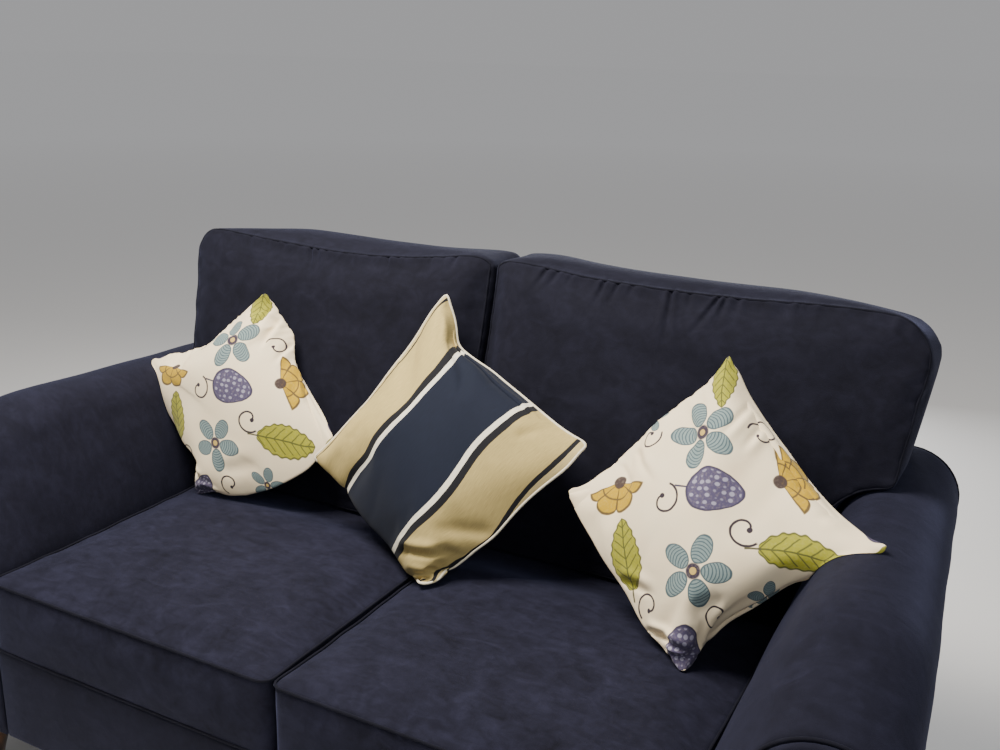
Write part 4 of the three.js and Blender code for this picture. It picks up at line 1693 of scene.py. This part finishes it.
def kept_clear(points, room=0.0012):
    """Moves points that are inside a support to just outside it."""
    count = 0
    for i, point in enumerate(points):
        spot = Vector(point)
        for tree in supports:
            place, normal, _, _ = tree.find_nearest(spot, 0.12)
            if place is not None and (spot - place).dot(normal) < room:
                spot = place + normal * room
                count += 1
        points[i] = spot
    return count


def settled(points, table):
    """Shifts the cloth in its own plane where the table says."""
    shifts = np.zeros((len(points), 2))
    for x, z, *shift in np.array(table) / 1000:
        near = np.exp(-((points[:, 0] - x) ** 2 + (points[:, 2] - z) ** 2) / (2 * SETTLING_REACH ** 2))
        shifts += near[:, None] * shift
    points[:, ::2] += shifts


def ironed(points, grid, rounds):
    """Smooths a sheet's depth."""
    for _ in range(rounds):
        y = points[grid, 1]
        y[1:-1, 1:-1] = (y[:-2, 1:-1] + y[2:, 1:-1] + y[1:-1, :-2] + y[1:-1, 2:]) / 4
        points[grid, 1] = y


def creased(case, into, folds):
    """Presses folds into the front sheet, each a groove with a low ridge on its left."""
    mesh = case.data
    places = cloth_places(case)[1]
    front = places[:, 0] < 1.2
    owner = np.empty(len(mesh.loops), dtype=np.int32)
    mesh.loops.foreach_get("vertex_index", owner)
    u, v = np.full((2, len(mesh.vertices)), 9.0)
    u[owner[front]], v[owner[front]] = places[front].T
    push = np.zeros(len(u))
    for u0, v0, u1, v1, width, depth in folds:
        du, dv = u1 - u0, v1 - v0
        length = math.hypot(du, dv)
        along = ((u - u0) * du + (v - v0) * dv) / length ** 2
        aside = ((v - v0) * du - (u - u0) * dv) / length / width
        shape = np.exp(-aside ** 2) - 0.7 * np.exp(-(aside - 2.0) ** 2 / 2.0)
        push += depth / 1000 * shape * eased(along / 0.2) * eased((1 - along) / 0.5)
    set_coordinates(mesh, coordinates(mesh) + push[:, None] * np.array(into))


def outward_from(seam, middle, sight):
    """For each point of a seam, which way is out: square to the seam and to the line of sight."""
    outward = np.cross(np.gradient(seam, axis=0), sight)
    outward /= np.linalg.norm(outward, axis=1)[:, None]
    return outward * np.sign(((seam - middle) * outward).sum(axis=1))[:, None]


def seam_outermost(points, net, sight):
    """Brings the seams of both upper edges out to the outline. Where a seam is drawn in, the slack sheets
    would bulge past it; here the last rows of each sheet run straight to the seam instead."""
    middle = points[net[0]].mean(axis=(0, 1))
    for turn in (np.fliplr, np.transpose):
        strips = [turn(grid)[:, :EDGE_ROWS + 4] for grid in net]
        seam = points[strips[0][:, 0]]
        outward = outward_from(seam, middle, sight)
        over = np.max([np.einsum("kra,ka->kr", points[strip] - seam[:, None], outward).max(axis=1)
                       for strip in strips], axis=0)
        for _ in range(4):
            over[1:-1] = (over[:-2] + 2 * over[1:-1] + over[2:]) / 4
        from_corner = np.minimum(np.arange(len(seam)), np.arange(len(seam))[::-1])
        over *= eased(from_corner / 6)
        bulging = eased(over / 0.003)[:, None, None]
        seam += outward * (over * 1.06)[:, None]
        for strip in strips:
            rows = np.arange(EDGE_ROWS)[None, :, None] / EDGE_ROWS
            old = points[strip[:, :EDGE_ROWS]]
            straight = seam[:, None] * (1 - rows) + points[strip[:, EDGE_ROWS]][:, None] * rows
            points[strip[:, :EDGE_ROWS]] = old + (straight - old) * (1 - rows ** 2) * bulging


def bezier(a, b, c, d, t):
    return a * (1 - t) ** 3 + 3 * b * t * (1 - t) ** 2 + 3 * c * t ** 2 * (1 - t) + d * t ** 3


def seam_tucked(points, net, sight):
    """Rolls the front sheet around the lower left edge, so that the seam there lies behind the cushion."""
    front, rear = net
    seam = points[front[:, 0]]
    outward = outward_from(seam, points[front].mean(axis=(0, 1)), sight)
    steps = np.arange(len(seam))
    share = (eased(steps / 6) * eased((len(seam) - 1 - steps) / 14))[:, None]
    hidden, around = (seam + out * outward + away * sight for out, away in (TUCKED_SEAM, TUCKED_ROLL))
    last, beyond = points[front[:, EDGE_ROWS]], points[front[:, EDGE_ROWS + 1]]
    before = last - EDGE_ROWS / 3 * (beyond - last)
    for r in range(EDGE_ROWS):
        t = r / EDGE_ROWS
        old = points[front[:, r]]
        points[front[:, r]] = old + (bezier(hidden, around, before, last, t) - old) * share
        if r:
            points[rear[:, r]] += (hidden - seam) * share * (1 - t) ** 2


for row in SCATTER:
    name, size = row["name"], row["size"]
    case, ring, net = sewn_case("scatter_cushion_" + name, size, row["bow"])
    start = coordinates(case.data)
    held, moves = {}, {}
    for k, (index, target) in enumerate(zip(ring, through(SEAM_PLACES[name], CASE_STEPS))):
        edge, step = divmod(k, CASE_STEPS)
        at_corner = min(step, CASE_STEPS - step) <= 1
        held[index] = 1.0 if at_corner else (*row["hold"], *UPPER_HOLD)[edge]
        moves[index] = tuple(target - start[index])
    inflated(case, row["pressure"], held, moves, filling(start, row["tip"]), frames=26, bending=0.1,
             quality=10)
    pose = pose_of(row["place"], row["turn"], row["lean"], row["spin"])
    sight = -np.array((pose.inverted() @ Vector(CAMERA_PLACE)).normalized())
    cloth = coordinates(case.data)
    settled(cloth, SETTLING[name])
    ironed(cloth, net[0], row["ironing"])
    seam_outermost(cloth, net, sight)
    if name == "centre":
        seam_tucked(cloth, net, sight)
    from_tip = np.hypot(start[:, 0] - size / 2, start[:, 2] - size / 2)
    cloth -= sight * row["lift"] * np.exp(-(from_tip / 0.09) ** 2)[:, None]
    world = np.array([pose @ Vector(p) for p in cloth])
    moved = kept_clear(world)
    set_coordinates(case.data, world)
    finished(case, SMOOTHER)
    creased(case, pose.col[1][:3], FOLDS[name])
    material = STRIPED if row["finish"] == "stripe" else PRINTED
    dressed(case, material, ["scatter_" + name])
    if row["finish"] == "stripe":
        out_of_true(case)
        seam = smoothed([case.data.vertices[i].co.copy() for i in ring])
        piping("scatter_piping_centre", evenly(seam, 0.005), SCATTER_CORD, material=CREAM_PIPING)
    print(case.name, "size", [round(v, 3) for v in case.dimensions], "kept clear:", moved)

# %% Measure and finish
print("pieces made:", len(made))
